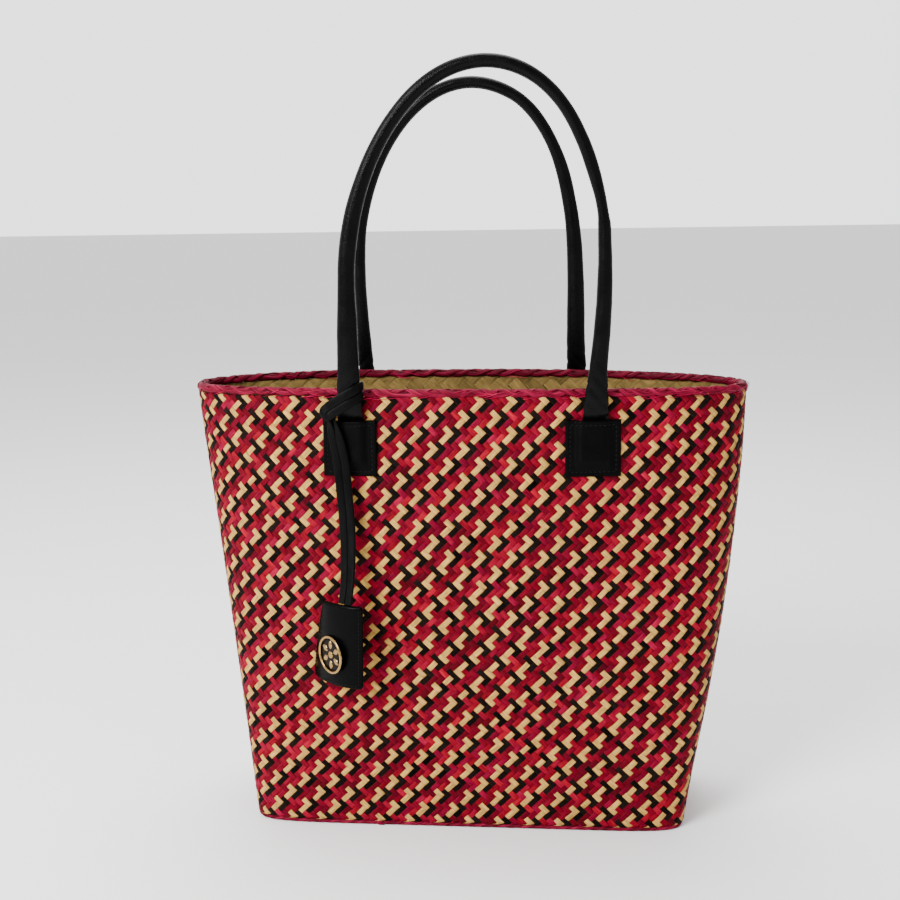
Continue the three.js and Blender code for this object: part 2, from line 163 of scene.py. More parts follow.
def sweep(path, across, out, halfWidth, halfDepth, sides, power=2.0, closed=False):
    # a superellipse section carried along a path: halfWidth along across, halfDepth along out
    angle = ringAngles(sides)
    c, s = bent(np.cos(angle), 2 / power), bent(np.sin(angle), 2 / power)
    halfWidth = np.broadcast_to(halfWidth, len(path))[:, None, None]
    halfDepth = np.broadcast_to(halfDepth, len(path))[:, None, None]
    points = (
        path[:, None]
        + across[:, None] * c[None, :, None] * halfWidth
        + out[:, None] * s[None, :, None] * halfDepth
    )
    faces = gridFaces(len(path), sides, closed, True)
    return points.reshape(-1, 3), faces


def capped(points, faces, sides):
    # closes both ends of a sweep with fans
    count = len(points)
    ends = np.stack([points[:sides].mean(0), points[-sides:].mean(0)])
    k = np.arange(sides)
    first = np.stack([np.full(sides, count), (k + 1) % sides, k], -1)
    last = np.stack([np.full(sides, count + 1), count - sides + k, count - sides + (k + 1) % sides], -1)
    return np.concatenate([points, ends]), [faces, np.concatenate([first, last])]


def joined(parts):
    # several (points, quads) made one
    starts = np.cumsum([0] + [len(points) for points, faces in parts])
    faces = np.concatenate([part[1] + start for part, start in zip(parts, starts)])
    return np.concatenate([part[0] for part in parts]), faces


def copies(faces, count, size):
    # one shape's faces for each of count copies, size points apiece
    return (faces[None] + (np.arange(count) * size)[:, None, None]).reshape(-1, 4)


# Materials


class Wire:
    # one output socket, to add and multiply
    def __init__(self, look, socket):
        self.look, self.socket = look, socket

    def __add__(self, other):
        return self.look.math("ADD", self, other)

    def __mul__(self, other):
        return self.look.math("MULTIPLY", self, other)


class Look:
    # a material with one Principled shader; constants are set on the shader's own sockets
    def __init__(self, name, constants):
        self.material = bpy.data.materials.new(name)
        self.material.use_nodes = True
        self.tree = self.material.node_tree
        self.tree.nodes.clear()
        self.shader = self.tree.nodes.new("ShaderNodeBsdfPrincipled")
        output = self.tree.nodes.new("ShaderNodeOutputMaterial")
        self.tree.links.new(self.shader.outputs[0], output.inputs[0])
        for socket, value in constants.items():
            self.shader.inputs[socket].default_value = value

    def node(self, kind, settings=None, values=None, output=0):
        made = self.tree.nodes.new(kind)
        for key, value in (settings or {}).items():
            if key == "stops":
                elements = made.color_ramp.elements
                while len(elements) < len(value):
                    elements.new(0.5)
                for element, (place, colour) in zip(elements, value):
                    element.position = place
                    element.color = (*colour, 1.0)
            else:
                setattr(made, key, value)
        for key, value in (values or {}).items():
            if isinstance(value, Wire):
                self.tree.links.new(value.socket, made.inputs[key])
            else:
                made.inputs[key].default_value = value
        return Wire(self, made.outputs[output])

    def math(self, operation, a, b):
        return self.node("ShaderNodeMath", {"operation": operation}, {0: a, 1: b})

    def mix(self, share, a, b):
        a = (*a, 1.0) if isinstance(a, tuple) else a
        return self.node("ShaderNodeMix", {"data_type": "RGBA"}, {0: share, 6: a, 7: (*b, 1.0)}, 2)

    def scaled(self, colour, amount):
        values = {0: colour, "Scale": amount}
        return self.node("ShaderNodeVectorMath", {"operation": "SCALE"}, values)

    def attribute(self, name, output="Fac"):
        return self.node("ShaderNodeAttribute", {"attribute_name": name}, None, output)

    def run(self, scale):
        # the piece's own UV map, in mm along the strand and mm across it, scaled
        uv = self.node("ShaderNodeUVMap", {"uv_map": "run"})
        return self.node("ShaderNodeMapping", None, {"Vector": uv, "Scale": scale})

    def place(self, scale):
        # Object coordinates, in metres, scaled
        at = self.node("ShaderNodeTexCoord", None, None, "Object")
        return self.node("ShaderNodeMapping", None, {"Vector": at, "Scale": (scale, scale, scale)})

    def noise(self, vector, scale=1.0, detail=2.0, roughness=0.5):
        values = {"Vector": vector, "Scale": scale, "Detail": detail, "Roughness": roughness}
        return self.node("ShaderNodeTexNoise", None, values)

    def spread(self, value, low, high, toLow=0.0, toHigh=1.0):
        values = {0: value, 1: low, 2: high, 3: toLow, 4: toHigh}
        return self.node("ShaderNodeMapRange", {"clamp": True}, values)

    def bump(self, height, distance, strength=1.0):
        values = {"Height": height, "Distance": distance, "Strength": strength}
        return self.node("ShaderNodeBump", None, values)

    def feed(self, **links):
        for name, wire in links.items():
            socket = {"colour": "Base Color", "roughness": "Roughness", "normal": "Normal"}[name]
            self.tree.links.new(wire.socket, self.shader.inputs[socket])
        return self.material


wornEdge = (0.4, 0.16, 0.13)
raffiaColours = {
    "dark": (0.055, 0.0004, 0.006),
    "mid": (0.125, 0.0008, 0.0135),
    "light": (0.31, 0.0075, 0.046),
}
leatherColours = {"deep": (0.0009, 0.0009, 0.001), "worn": (0.0013, 0.0013, 0.0014)}
# seen between the strips
shadowColours = {"coloured_straw": (0.012, 0.0008, 0.0015), "plain_straw": (0.03, 0.017, 0.006)}


def strawLook(name, roughness):
    # dyed or plain strips: the strand's own tint, lengthwise fibres and a few pale flecks
    look = Look(name, {"Specular IOR Level": 0.03})
    tint = look.attribute("tint", "Color")
    fibres = look.noise(look.run((0.1, 1.5, 1.0)), 1.0, 4.0, 0.66)
    blotches = look.noise(look.run((0.12, 0.25, 1.0)), 1.0, 2.0)
    light = look.spread(fibres, 0.32, 0.68, 0.52, 1.42) * look.spread(blotches, 0.3, 0.7, 0.8, 1.18)
    colour = look.scaled(tint, light)
    # worn edges, a little paler than the strip
    worn = look.spread(look.attribute("edge"), 0.8, 1.0) * look.spread(blotches, 0.45, 0.6, 0.0, 0.07)
    colour = look.mix(worn, colour, wornEdge)
    return look.feed(
        colour=colour,
        roughness=look.spread(fibres, 0.2, 0.8, roughness - 0.08, roughness + 0.12),
        normal=look.bump(fibres, 0.00025, 0.6),
    )


def raffiaLook():
    # crimson fibres from dark to light, with painted shade darkening the strands' edges where they meet
    look = Look("raffia", {"Specular IOR Level": 0.06})
    fibres = look.noise(look.run((0.035, 0.85, 1.0)), 1.0, 4.0, 0.68)
    patches = look.noise(look.run((0.05, 0.12, 1.0)), 1.0, 2.0)
    stops = [(0.39, raffiaColours["dark"]), (0.5, raffiaColours["mid"]), (0.63, raffiaColours["light"])]
    ramp = look.node("ShaderNodeValToRGB", {"stops": stops}, {"Fac": fibres * 0.75 + patches * 0.25})
    # painted shade: darker towards each strand's edges, then scaled by the piece's shade attribute
    sides = look.spread(look.attribute("edge"), 0.55, 1.0, 1.0, 0.55) * look.attribute("shade")
    return look.feed(
        colour=look.scaled(ramp, sides),
        roughness=look.spread(fibres, 0.2, 0.8, 0.62, 0.4),
        normal=look.bump(fibres, 0.0005, 0.9),
    )


def leatherLook(name, roughness, grain, creases, gloss):
    # black leather: fine pebble, faint long creases, worn patches a little duller
    look = Look(name, {"Specular IOR Level": gloss})
    at = look.place(1000.0)
    cells = {"Vector": at, "Scale": grain, "Smoothness": 0.6}
    pebble = look.node("ShaderNodeTexVoronoi", {"feature": "SMOOTH_F1"}, cells, "Distance")
    wear = look.noise(at, 0.09, 3.0)
    fine = look.noise(look.run((0.12, 0.9, 1.0)), 1.0, 3.0, 0.6)
    return look.feed(
        colour=look.mix(look.spread(wear, 0.35, 0.75), leatherColours["deep"], leatherColours["worn"]),
        roughness=look.spread(wear, 0.3, 0.75, roughness - 0.06, roughness + 0.12),
        normal=look.bump(pebble * 0.35 + fine * creases, 0.0004, 0.7),
    )


def plainLook(name, colour, roughness, metallic=0.0):
    # one colour that drifts a little darker
    look = Look(name, {"Metallic": metallic, "Specular IOR Level": 0.5 if metallic else 0.05})
    shift = look.noise(look.place(1000.0), 0.6, 3.0)
    darker = tuple(0.72 * c for c in colour)
    return look.feed(
        colour=look.mix(look.spread(shift, 0.3, 0.7), darker, colour),
        roughness=look.spread(shift, 0.3, 0.7, roughness - 0.06, roughness + 0.08),
        normal=look.bump(shift, 0.00005, 0.3),
    )


# The wall: level superellipse sections whose sizes run from the base's to the mouth's
wall = {
    "height": 315.0,
    "mouthHalfWidth": 199.0,
    "mouthHalfDepth": 61.0,
    "baseHalfWidth": 159.0,
    "baseHalfDepth": 58.0,
    "rimEndDrop": 2.0,
    "dropFrom": 0.87,  # share of the height above which the ends drop
    "thickness": 3.1,  # both layers
    "at": (0.0, 0.12, 0.3, 0.5, 0.7, 0.87, 1.0),
    "left": (0.0, 0.11, 0.29, 0.5, 0.71, 0.89, 1.0),
    "right": (-0.04, 0.12, 0.4, 0.66, 0.85, 0.96, 1.0),
    "depth": (0.0, 0.55, 1.3, 1.8, 1.9, 1.4, 1.0),
    "power": (9.0, 7.0, 5.0, 3.7, 2.9, 2.5, 2.3),
    "evenReach": 150.0,  # round to here from the front centre, mm along the wall are kept
}
wallGridSize = {"levels": 127, "around": 1440, "quarter": 500}


def wallSection(share):
    lerp = lambda low, high, name: low + (high - low) * smoothRead(share, wall["at"], wall[name])
    return (
        lerp(wall["baseHalfWidth"], wall["mouthHalfWidth"], "left"),
        lerp(wall["baseHalfWidth"], wall["mouthHalfWidth"], "right"),
        lerp(wall["baseHalfDepth"], wall["mouthHalfDepth"], "depth"),
        smoothRead(share, wall["at"], wall["power"]),
    )


def wallDepth(x, z):
    # depth * (1 - |x / half|^power)^(1 / power)
    left, right, depth, power = wallSection(z / wall["height"])
    half = np.where(x < 0, left, right)
    return depth * np.maximum(1 - np.abs(x / half) ** power, 0.0) ** (1 / power)


def halfOutline(half, depth, power):
    # x = half sin(a)^(2 / power), y = -depth cos(a)^(2 / power), from the front centre to the back centre
    quarter = np.linspace(0.0, np.pi / 2, wallGridSize["quarter"])
    s, c = np.sin(quarter) ** (2 / power), np.cos(quarter) ** (2 / power)
    x = np.concatenate([half * s, half * s[-2::-1]])
    y = np.concatenate([-depth * c, depth * c[-2::-1]])
    length = np.concatenate([[0.0], np.cumsum(np.hypot(np.diff(x), np.diff(y)))])
    return x, y, length


def makeWallGrid():
    # points at even steps round the wall: mm along it near the front, the difference taken up behind
    shares = np.linspace(0.0, 1.0, wallGridSize["levels"])
    halves = []
    for share in shares:
        left, right, depth, power = wallSection(share)
        halves.append([halfOutline(side, depth, power) for side in (right, left)])
    round_ = np.mean([sum(side[2][-1] for side in pair) for pair in halves])
    count = wallGridSize["around"] // 2
    away = np.linspace(0.0, round_ / 2, count + 1)
    points = np.zeros((len(shares), 2 * count, 3))
    for k, pair in enumerate(halves):
        for side, (x, y, length) in enumerate(pair):
            stretch = (length[-1] - round_ / 2) * ease(away, wall["evenReach"], round_ / 2)
            px, py = np.interp(away + stretch, length, x), np.interp(away + stretch, length, y)
            if side == 0:
                points[k, : count + 1, 0], points[k, : count + 1, 1] = px, py
            else:
                points[k, count + 1 :, 0], points[k, count + 1 :, 1] = -px[-2:0:-1], py[-2:0:-1]
    drop = wall["rimEndDrop"] * (points[..., 0] / wall["mouthHalfWidth"]) ** 2
    late = np.clip((shares - wall["dropFrom"]) / (1 - wall["dropFrom"]), 0.0, 1.0)
    points[..., 2] = shares[:, None] * wall["height"] - drop * late[:, None]
    alongU = np.roll(points, -1, 1) - np.roll(points, 1, 1)
    alongV = np.gradient(points, axis=0)
    return points, unit(np.cross(alongU, alongV)), round_


wallPoints, wallNormals, wallRound = makeWallGrid()
print("wall worked out, mm round:", round(float(wallRound), 1))


def onWall(u, z, lift=0.0):
    # the place at u mm round the wall from the front centre and z mm up, lift mm off its outer face
    levels, around = wallPoints.shape[:2]
    row = np.clip(z / wall["height"], 0.0, 1.0) * (levels - 1)
    column = (u / wallRound) % 1.0 * around
    r0 = np.minimum(row.astype(int), levels - 2)
    c0 = column.astype(int) % around
    c1 = (c0 + 1) % around
    fr, fc = (row - r0)[..., None], (column - np.floor(column))[..., None]
    read = lambda grid: (
        (1 - fr) * ((1 - fc) * grid[r0, c0] + fc * grid[r0, c1])
        + fr * ((1 - fc) * grid[r0 + 1, c0] + fc * grid[r0 + 1, c1])
    )
    above = np.maximum(z - wall["height"], 0.0)[..., None] * np.array([0.0, 0.0, 1.0])
    return read(wallPoints) + above + unit(read(wallNormals)) * np.asarray(lift)[..., None]


# The plait: strips at 45 degrees that pass over two and under two
weave = {
    "stripsRound": 160,  # each way; a multiple of four, so that the colours meet behind
    "tipAcross": -29.8,  # a place where two plain strips cross, from the front centre
    "tipUp": 270.4,
    "lowest": 3.6,
    "highest": 317.6,  # under the rim's binding
    "top": 0.05,  # the floats' crowns, off the wall's outer face
    "drop": 0.95,  # down to where a float's ends are tucked
    "crowdBelow": 110.0,  # rows crowd together a little towards the base
    "crowding": 0.055,
    "bandFirst": -24,  # strips in which plain and black change places
    "bandStrips": 16,
}
stripColours = {
    "plain": (0.44, 0.25, 0.064),
    "black": (0.0042, 0.0024, 0.0018),
    "plainVaries": 0.05,
    "blackVaries": 0.35,
    "redsVary": 0.26,
    "reds": [
        (0.134, 0.0013, 0.0085),
        (0.105, 0.0012, 0.009),
        (0.172, 0.0022, 0.0095),
        (0.142, 0.0015, 0.015),
        (0.09, 0.001, 0.0065),
        (0.158, 0.002, 0.012),
    ],
}


# how much one float differs from the next, as spreads: degrees, then shares of its own size
unevenness = {"turn": 1.4, "length": 0.02, "width": 0.025, "shift": 0.03, "lift": 0.07}


def floatGrid(halfLength, halfWidth, drop):
    # one float's grid: flat on top with rolled edges, its two ends bent down under its neighbours
    along = np.array([-1.12, -0.9, -0.55, 0.0, 0.55, 0.9, 1.12])
    endDrop = np.array([1.0, 0.42, 0.06, 0.0, 0.06, 0.42, 1.0])
    across = np.array([-0.975, -0.72, 0.72, 0.975])
    edgeDrop = np.array([0.3, 0.0, 0.0, 0.3])
    a, b = np.meshgrid(along * halfLength, across * halfWidth, indexing="ij")
    fall = endDrop[:, None] + edgeDrop[None, :] * (1 - endDrop[:, None])
    return a, b, -drop * fall


def makeFloats(name, centreU, centreV, slant, half, drop, tint, look, place, inward=False):
    # centreU, centreV: float centres in mm; slant 1 for strips that rise to the right, -1 for falling
    count = len(centreU)
    a, b, fall = floatGrid(2 * half, half, drop)
    floatEdge = (b / half).ravel()
    size = a.size
    wobble = rng.normal(0.0, 1.0, (count, 5))[:, :, None, None]
    turn = np.radians(unevenness["turn"]) * wobble[:, 0]
    a = a[None] * (1 + unevenness["length"] * wobble[:, 1])
    b = b[None] * (1 + unevenness["width"] * wobble[:, 2]) + unevenness["shift"] * half * wobble[:, 3]
    run, side = a * np.cos(turn) - b * np.sin(turn), a * np.sin(turn) + b * np.cos(turn)
    root = np.sqrt(0.5)
    u = centreU[:, None, None] + root * (run - slant * side)
    v = centreV[:, None, None] + root * (slant * run + side)
    lift = fall[None] + unevenness["lift"] * drop * wobble[:, 4]
    points = place(u, v, lift).reshape(-1, 3)
    one = gridFaces(a.shape[1], a.shape[2])
    if (slant > 0) == inward:
        one = one[:, ::-1]
    alongShift = rng.uniform(0, 900, count)[:, None, None]
    acrossShift = rng.uniform(0, 90, count)[:, None, None]
    uv = np.stack([a + alongShift, b + acrossShift], -1).reshape(-1, 2)
    colours = np.column_stack([np.repeat(tint, size, axis=0), np.ones(count * size)])
    values = {"tint": colours, "edge": np.tile(np.abs(floatEdge), count)}
    return addMesh(name, points, copies(one, count, size), look, uv, values)


def strandTints(strip, rising):
    # each strip's own red
    reds = np.array(stripColours["reds"])
    shade = np.random.default_rng(5 + int(rising)).integers(0, len(reds), weave["stripsRound"])
    return reds[shade[strip % weave["stripsRound"]]]


def crossings(slant, firstRow, first, last, strips, cell):
    # the middle of every float of one slant, mm across and mm up, and the number of its strip
    rows = firstRow + 4 * np.arange(first, last)
    row, strip = (m.ravel() for m in np.meshgrid(rows, strips, indexing="ij"))
    return (2 * strip + slant * row) * cell, row * cell, strip


def withPlainAndBlack(tint, order, plain, black):
    # two strips in every four keep their own colour
    tint = np.where((order == 0)[:, None], plain, tint)
    return np.where((order == 1)[:, None], black, tint)


def onWeave(u, z, lift):
    return onWall(u, np.clip(z, weave["lowest"], weave["highest"]), lift + weave["top"])


def makeWall():
    n = weave["stripsRound"]
    cell = wallRound / n / 2  # half the diagonal of one crossing
    half = cell / np.sqrt(2)  # half a strip's width
    rowsUp = int((wall["height"] - weave["tipUp"]) / cell) + 4
    rowsDown = int(weave["tipUp"] * (1 + weave["crowding"]) / cell) + 4
    look = strawLook("dyed_straw", 0.5)
    plain, black = np.array(stripColours["plain"]), np.array(stripColours["black"])
    for slant, firstRow, label in ((-1, 0.5, "weave_falling"), (1, 2.5, "weave_rising")):
        first, last = -(rowsDown // 4) - 1, rowsUp // 4 + 1
        across, v, strip = crossings(slant, firstRow, first, last, np.arange(n), cell)
        u = weave["tipAcross"] + across
        below = weave["crowdBelow"] - (weave["tipUp"] + v)
        z = weave["tipUp"] + v + weave["crowding"] * np.maximum(below, 0.0)
        inside = (z > weave["lowest"] - 1.2 * cell) & (z < weave["highest"] + 1.2 * cell)
        u, z, strip = u[inside], z[inside], strip[inside]
        order = strip % 4
        if slant < 0:
            swapped = (strip - weave["bandFirst"]) % n < weave["bandStrips"]
            order = np.where(swapped & (order < 2), 1 - order, order)
        shade = rng.normal(0.0, 1.0, len(strip))[:, None]
        tint = strandTints(strip, slant > 0) * np.exp(stripColours["redsVary"] * shade)
        plains = plain * (1 + stripColours["plainVaries"] * shade)
        blacks = black * (1 + stripColours["blackVaries"] * shade)
        tint = withPlainAndBlack(tint, order, plains, blacks)
        piece = makeFloats(label, u, z, slant, half, weave["drop"], tint, look, onWeave)
        keep(piece, "coloured_straw", "basket_outer")
        print(label, len(u), "floats")


makeWall()

# Close behind each layer's floats, a plain dark surface: painted shade seen between the strips
shadowSheet = {"lift": -1.0, "levels": 40, "around": 240}


def makeShadowSheet(name, lookName, layer, lift, slotName, inward):
    u = np.linspace(0, wallRound, shadowSheet["around"], endpoint=False)
    z = np.linspace(layer["lowest"], layer["highest"], shadowSheet["levels"])
    zz, uu = np.meshgrid(z, u, indexing="ij")
    points = onWall(uu, zz, np.full(uu.shape, lift)).reshape(-1, 3)
    faces = gridFaces(shadowSheet["levels"], shadowSheet["around"], False, True)
    faces = faces[:, ::-1] if inward else faces
    look = plainLook(lookName, shadowColours[slotName], 0.8)
    keep(addMesh(name, points, faces, look), slotName)


makeShadowSheet("weave_backing", "straw_shadow", weave, shadowSheet["lift"], "coloured_straw", False)

# The lining: wide undyed strips, plaited the same way, crowned towards the inside
lining = {
    "stripsRound": 66,
    "face": -3.1,  # its inner face, off the wall's outer face
    "drop": 0.8,
    "lowest": 3.4,
    "highest": 317.6,
    "colour": (0.165, 0.108, 0.034),
    "varies": 0.14,
}


def onLining(u, z, lift):
    return onWall(u, np.clip(z, lining["lowest"], lining["highest"]), lining["face"] - lift)


def makeLining():
    n = lining["stripsRound"]
    cell = wallRound / n / 2
    half = cell / np.sqrt(2)
    look = strawLook("plain_straw", 0.55)
    for slant, firstRow, label in ((-1, 0.5, "lining_falling"), (1, 2.5, "lining_rising")):
        last = int(wall["height"] / cell / 4) + 3
        u, z, _ = crossings(slant, firstRow, -1, last, np.arange(n), cell)
        within = (z > -2 * cell) & (z < lining["highest"] + 1.6 * cell)
        u, z = u[within], z[within]
        shade = rng.normal(0, 1, len(u))[:, None]
        tint = np.array(lining["colour"]) * (1 + lining["varies"] * shade)
        piece = makeFloats(label, u, z, slant, half, lining["drop"], tint, look, onLining, True)
        keep(piece, "plain_straw", "basket_lining")
    lift = lining["face"] + lining["drop"]
    makeShadowSheet("lining_backing", "lining_shadow", lining, lift, "plain_straw", True)


makeLining()

# The flat base: the same plait under the bag and, in wide strips, on the floor inside
bases = {
    "base_weave": {"z": 0.0, "up": -1.0, "half": 1.95, "inset": 3.0, "drop": 0.7, "slot": "coloured_straw"},
    "floor_weave": {"z": 3.4, "up": 1.0, "half": 4.7, "inset": 3.3, "drop": 0.7, "slot": "plain_straw"},
}


def baseReach(x, y, inset):
    # how far out of the base's outline a place is: 1 on it, less inside
    left, right, depth, power = wallSection(0.0)
    half = np.where(x < 0, left, right) - inset
    return (np.abs(x / half) ** power + np.abs(y / (depth - inset)) ** power) ** (1 / power)


def onBase(base, x, y, lift):
    # a place on a base's plait, drawn in to the outline where a strip would run past it
    share = 1 / np.maximum(baseReach(x, y, base["inset"]), 1.0)
    return np.stack([x * share, y * share, base["z"] + base["up"] * np.minimum(lift, 0.0)], -1)


def makeBases():
    for name, base in bases.items():
        cell = base["half"] * np.sqrt(2)
        countX = int(wall["baseHalfWidth"] / cell / 2) + 2
        countY = int(wall["baseHalfDepth"] / cell / 4) + 2
        look = strawLook(name, 0.55)
        for slant, firstRow in ((-1, 0.5), (1, 2.5)):
            strips = np.arange(-2 * countX, 2 * countX + 1)
            x, y, strip = crossings(slant, firstRow, -countY, countY + 1, strips, cell)
            inside = baseReach(x, y, base["inset"] - 0.8 * cell) < 1
            x, y, strip = x[inside], y[inside], strip[inside]
            if base["slot"] == "coloured_straw":
                tint = strandTints(strip, slant > 0)
                tint = withPlainAndBlack(tint, strip % 4, stripColours["plain"], stripColours["black"])
            else:
                tint = np.tile(lining["colour"], (len(x), 1))
            tint = tint * (1 + 0.1 * rng.normal(0, 1, len(x)))[:, None]
            place = lambda x, y, lift: onBase(base, x, y, lift)
            label = name + ("_rising" if slant > 0 else "_falling")
            under = base["up"] < 0
            piece = makeFloats(label, x, y, slant, base["half"], base["drop"], tint, look, place, under)
            keep(piece, base["slot"])
        # a plain dark disc behind each base's floats: painted shade seen between the strips
        angle = np.linspace(0, 2 * np.pi, 200, endpoint=False)
        left, right, depth, power = wallSection(0.0)
        c, s = bent(np.cos(angle), 2 / power), bent(np.sin(angle), 2 / power)
        inset = base["inset"] - 0.5
        ring = np.stack([(np.where(c < 0, left, right) - inset) * c, (depth - inset) * s], -1)
        z = base["z"] - base["up"] * base["drop"]
        points = np.concatenate([np.column_stack([ring, np.full(len(ring), z)]), [[0.0, 0.0, z]]])
        k = np.arange(len(ring))
        faces = np.stack([np.full(len(ring), len(ring)), k, (k + 1) % len(ring)], -1)
        faces = faces if base["up"] > 0 else faces[:, ::-1]
        look = plainLook(name + "_shadow", shadowColours[base["slot"]], 0.8)
        keep(addMesh(name + "_backing", points, faces, look), base["slot"])


makeBases()
print("lining and base plaited")

# Raffia: flat strands plaited over the rim, and a thin twisted cord round the base
rim = {
    "width": 5.8,
    "height": 6.6,
    "inset": 2.1,  # its middle, in from the wall's outer face
    "strands": 4,
    "wave": 50.0,  # mm along the rim in which a strand goes over and back
    "swing": 1.85,  # how far round the oval core a strand swings, in radians
    "hump": 0.4,  # where one strand passes over another
    "strandHalfWidth": 2.0,
    "strandHalfDepth": 0.9,
    "wander": 0.1,  # radians by which a strand strays in its plait
    "wanderWaves": range(3, 24),
    "swell": 0.06,  # share by which a strand's width changes
    "swellWaves": range(9, 60, 3),
    "steps": 1000,
    "sides": 8,
    "coreSides": 12,
    "riseAt": (-199.0, -110.0, -50.0, 199.0),  # how much higher the binding sits along the mouth
    "rise": (1.9, 1.9, 0.8, 0.7),
    # painted shade: the binding's back half is drawn darker
    "backPaintedShade": 0.6,
}
baseCord = {
    "diameter": 4.0,
    "strands": 3,
    "lay": 26.0,
    "strandHalfWidth": 1.4,
    "strandRadius": 1.12,
    "steps": 640,
    "sides": 8,
}


def ringFrames(u, z, inset):
    # places round the wall with the way along it, the way out and the way up
    middle = onWall(u, z, -inset)
    along = unit(np.roll(middle, -1, 0) - np.roll(middle, 1, 0))
    out = unit(np.stack([along[:, 1], -along[:, 0], np.zeros(len(u))], -1))
    return middle, along, out, np.tile([0.0, 0.0, 1.0], (len(u), 1))


def strandSurface(path, face, halfWidth, halfDepth, sides, phase):
    # a flat strand on a closed path, its broad side turned to face
    along = unit(np.roll(path, -1, 0) - np.roll(path, 1, 0))
    across = unit(np.cross(along, face))
    out = unit(np.cross(across, along))
    points, faces = sweep(path, across, out, halfWidth, halfDepth, sides, 2.0, True)
    reach = np.broadcast_to(halfWidth, len(path))[:, None]
    wide = np.cos(ringAngles(sides))[None] * reach + 7 * phase
    uv = np.stack(np.broadcast_arrays(runLength(path, True)[:, None] + phase, wide), -1)
    return points, faces[:, ::-1], uv.reshape(-1, 2)


def wander(local, u, size, waves):
    # a slow random change along the rim that meets itself after a turn
    places = u / wallRound * 2 * np.pi
    return sum(local.normal(0, size) * np.cos(k * places + local.uniform(0, 6)) for k in waves)


def makeRim(look):
    steps = rim["steps"]
    u = np.linspace(0, wallRound, steps, endpoint=False)
    middle, _, out, up = ringFrames(u, np.full(steps, wall["height"]), rim["inset"])
    rise = np.interp(middle[:, 0], rim["riseAt"], rim["rise"])
    middle = middle + up * (rim["height"] / 2 + rise)[:, None]
    # painted shade: the binding darker towards the back of the mouth
    shade = 1 - (1 - rim["backPaintedShade"]) * ease(middle[:, 1], -30, 30)
    waves = round(wallRound / rim["wave"])
    parts, uvs = [], []
    local = np.random.default_rng(3)
    halfDepth, sides = rim["strandHalfDepth"], rim["sides"]
    halfW, halfH = rim["width"] / 2 - halfDepth, rim["height"] / 2 - halfDepth
    for strand in range(rim["strands"]):
        stray = wander(local, u, rim["wander"], rim["wanderWaves"])
        theta = 2 * np.pi * (waves * u / wallRound + strand / rim["strands"]) + stray
        swing = rim["swing"] * np.sin(theta)
        face = unit(out * (np.sin(swing) / halfW)[:, None] + up * (np.cos(swing) / halfH)[:, None])
        path = middle + out * (halfW * np.sin(swing))[:, None] + up * (halfH * np.cos(swing))[:, None]
        path = path + face * (rim["hump"] * np.sin(2 * theta))[:, None]
        halfWidth = rim["strandHalfWidth"] * (1 + rim["swell"] * wander(local, u, 0.5, rim["swellWaves"]))
        points, faces, uv = strandSurface(path, face, halfWidth, halfDepth, sides, 40.0 * strand)
        parts.append((points, faces))
        uvs.append(uv)
    points, faces = joined(parts)
    # the shade attribute carries the painted shade of the binding's back half
    values = {
        "edge": np.tile(np.abs(np.cos(ringAngles(sides))), rim["strands"] * steps),
        "shade": np.tile(np.repeat(shade, rim["sides"]), rim["strands"]),
    }
    keep(addMesh("rim_plait", points, faces, look, np.concatenate(uvs), values), "raffia", "rim_binding")
    # what the strands lie on, seen where they part, drawn darker as painted shade
    sides = rim["coreSides"]
    points, faces = sweep(middle, out, up, halfW, halfH, sides, 2.0, True)
    uv = np.stack([np.repeat(u, sides), np.tile(np.arange(sides), steps)], -1)
    # painted shade: the edge and shade values darken the core
    values = {"edge": np.full(len(points), 0.9), "shade": np.full(len(points), 0.7)}
    keep(addMesh("rim_core", points, faces[:, ::-1], look, uv, values), "raffia")


strays = {
    "count": 150,
    "points": 9,
    "longest": 26.0,
    "shortest": 8.0,
    "radius": 0.24,
    "outward": 0.75,  # share of them on the outer side
    "offRim": 0.5,
    "bow": 1.1,
}


def makeStrays(look):
    # fine loose fibres that leave the binding a little and lie back on it
    local = np.random.default_rng(17)
    count, n = strays["count"], strays["points"]
    t = np.linspace(0, 1, n)
    start = local.uniform(0, wallRound, count)
    length = local.uniform(strays["shortest"], strays["longest"], count)
    u = (start[:, None] + length[:, None] * t).ravel() % wallRound
    middle, _, out, up = ringFrames(u, np.full(len(u), wall["height"]), rim["inset"])
    middle[:, 2] += rim["height"] / 2 + np.interp(middle[:, 0], rim["riseAt"], rim["rise"])
    side = np.repeat(np.where(local.random(count) < strays["outward"], 1.0, -1.0), n)
    tilt = local.uniform(-1.0, 0.6, count)[:, None]
    tilt = (tilt + local.uniform(0.4, 1.3, count)[:, None] * (t - 0.5)).ravel()
    bow = (local.uniform(0.0, strays["bow"], count)[:, None] * np.sin(np.pi * t)).ravel()
    bow = strays["offRim"] + bow
    path = middle + out * (side * (rim["width"] / 2 + bow) * np.cos(tilt))[:, None]
    path = (path + up * ((rim["height"] / 2 + bow) * np.sin(tilt))[:, None]).reshape(count, n, 3)
    radius = (strays["radius"] * np.sin(np.pi * (0.06 + 0.88 * t)))[None, :, None, None]
    turn = np.arange(3) / 3 * 2 * np.pi
    out, up = out.reshape(count, n, 1, 3), up.reshape(count, n, 1, 3)
    ring = out * np.cos(turn)[:, None] + up * np.sin(turn)[:, None]
    points = (path[:, :, None] + radius * ring).reshape(-1, 3)
    faces = copies(gridFaces(n, 3, False, True), count, n * 3)
    uv = np.stack([np.repeat(u, 3), np.repeat(local.uniform(0, 60, count), 3 * n)], -1)
    values = {"edge": np.zeros(len(points)), "shade": np.repeat(local.uniform(1.0, 2.8, count), 3 * n)}
    keep(addMesh("rim_fibres", points, faces, look, uv, values), "raffia")


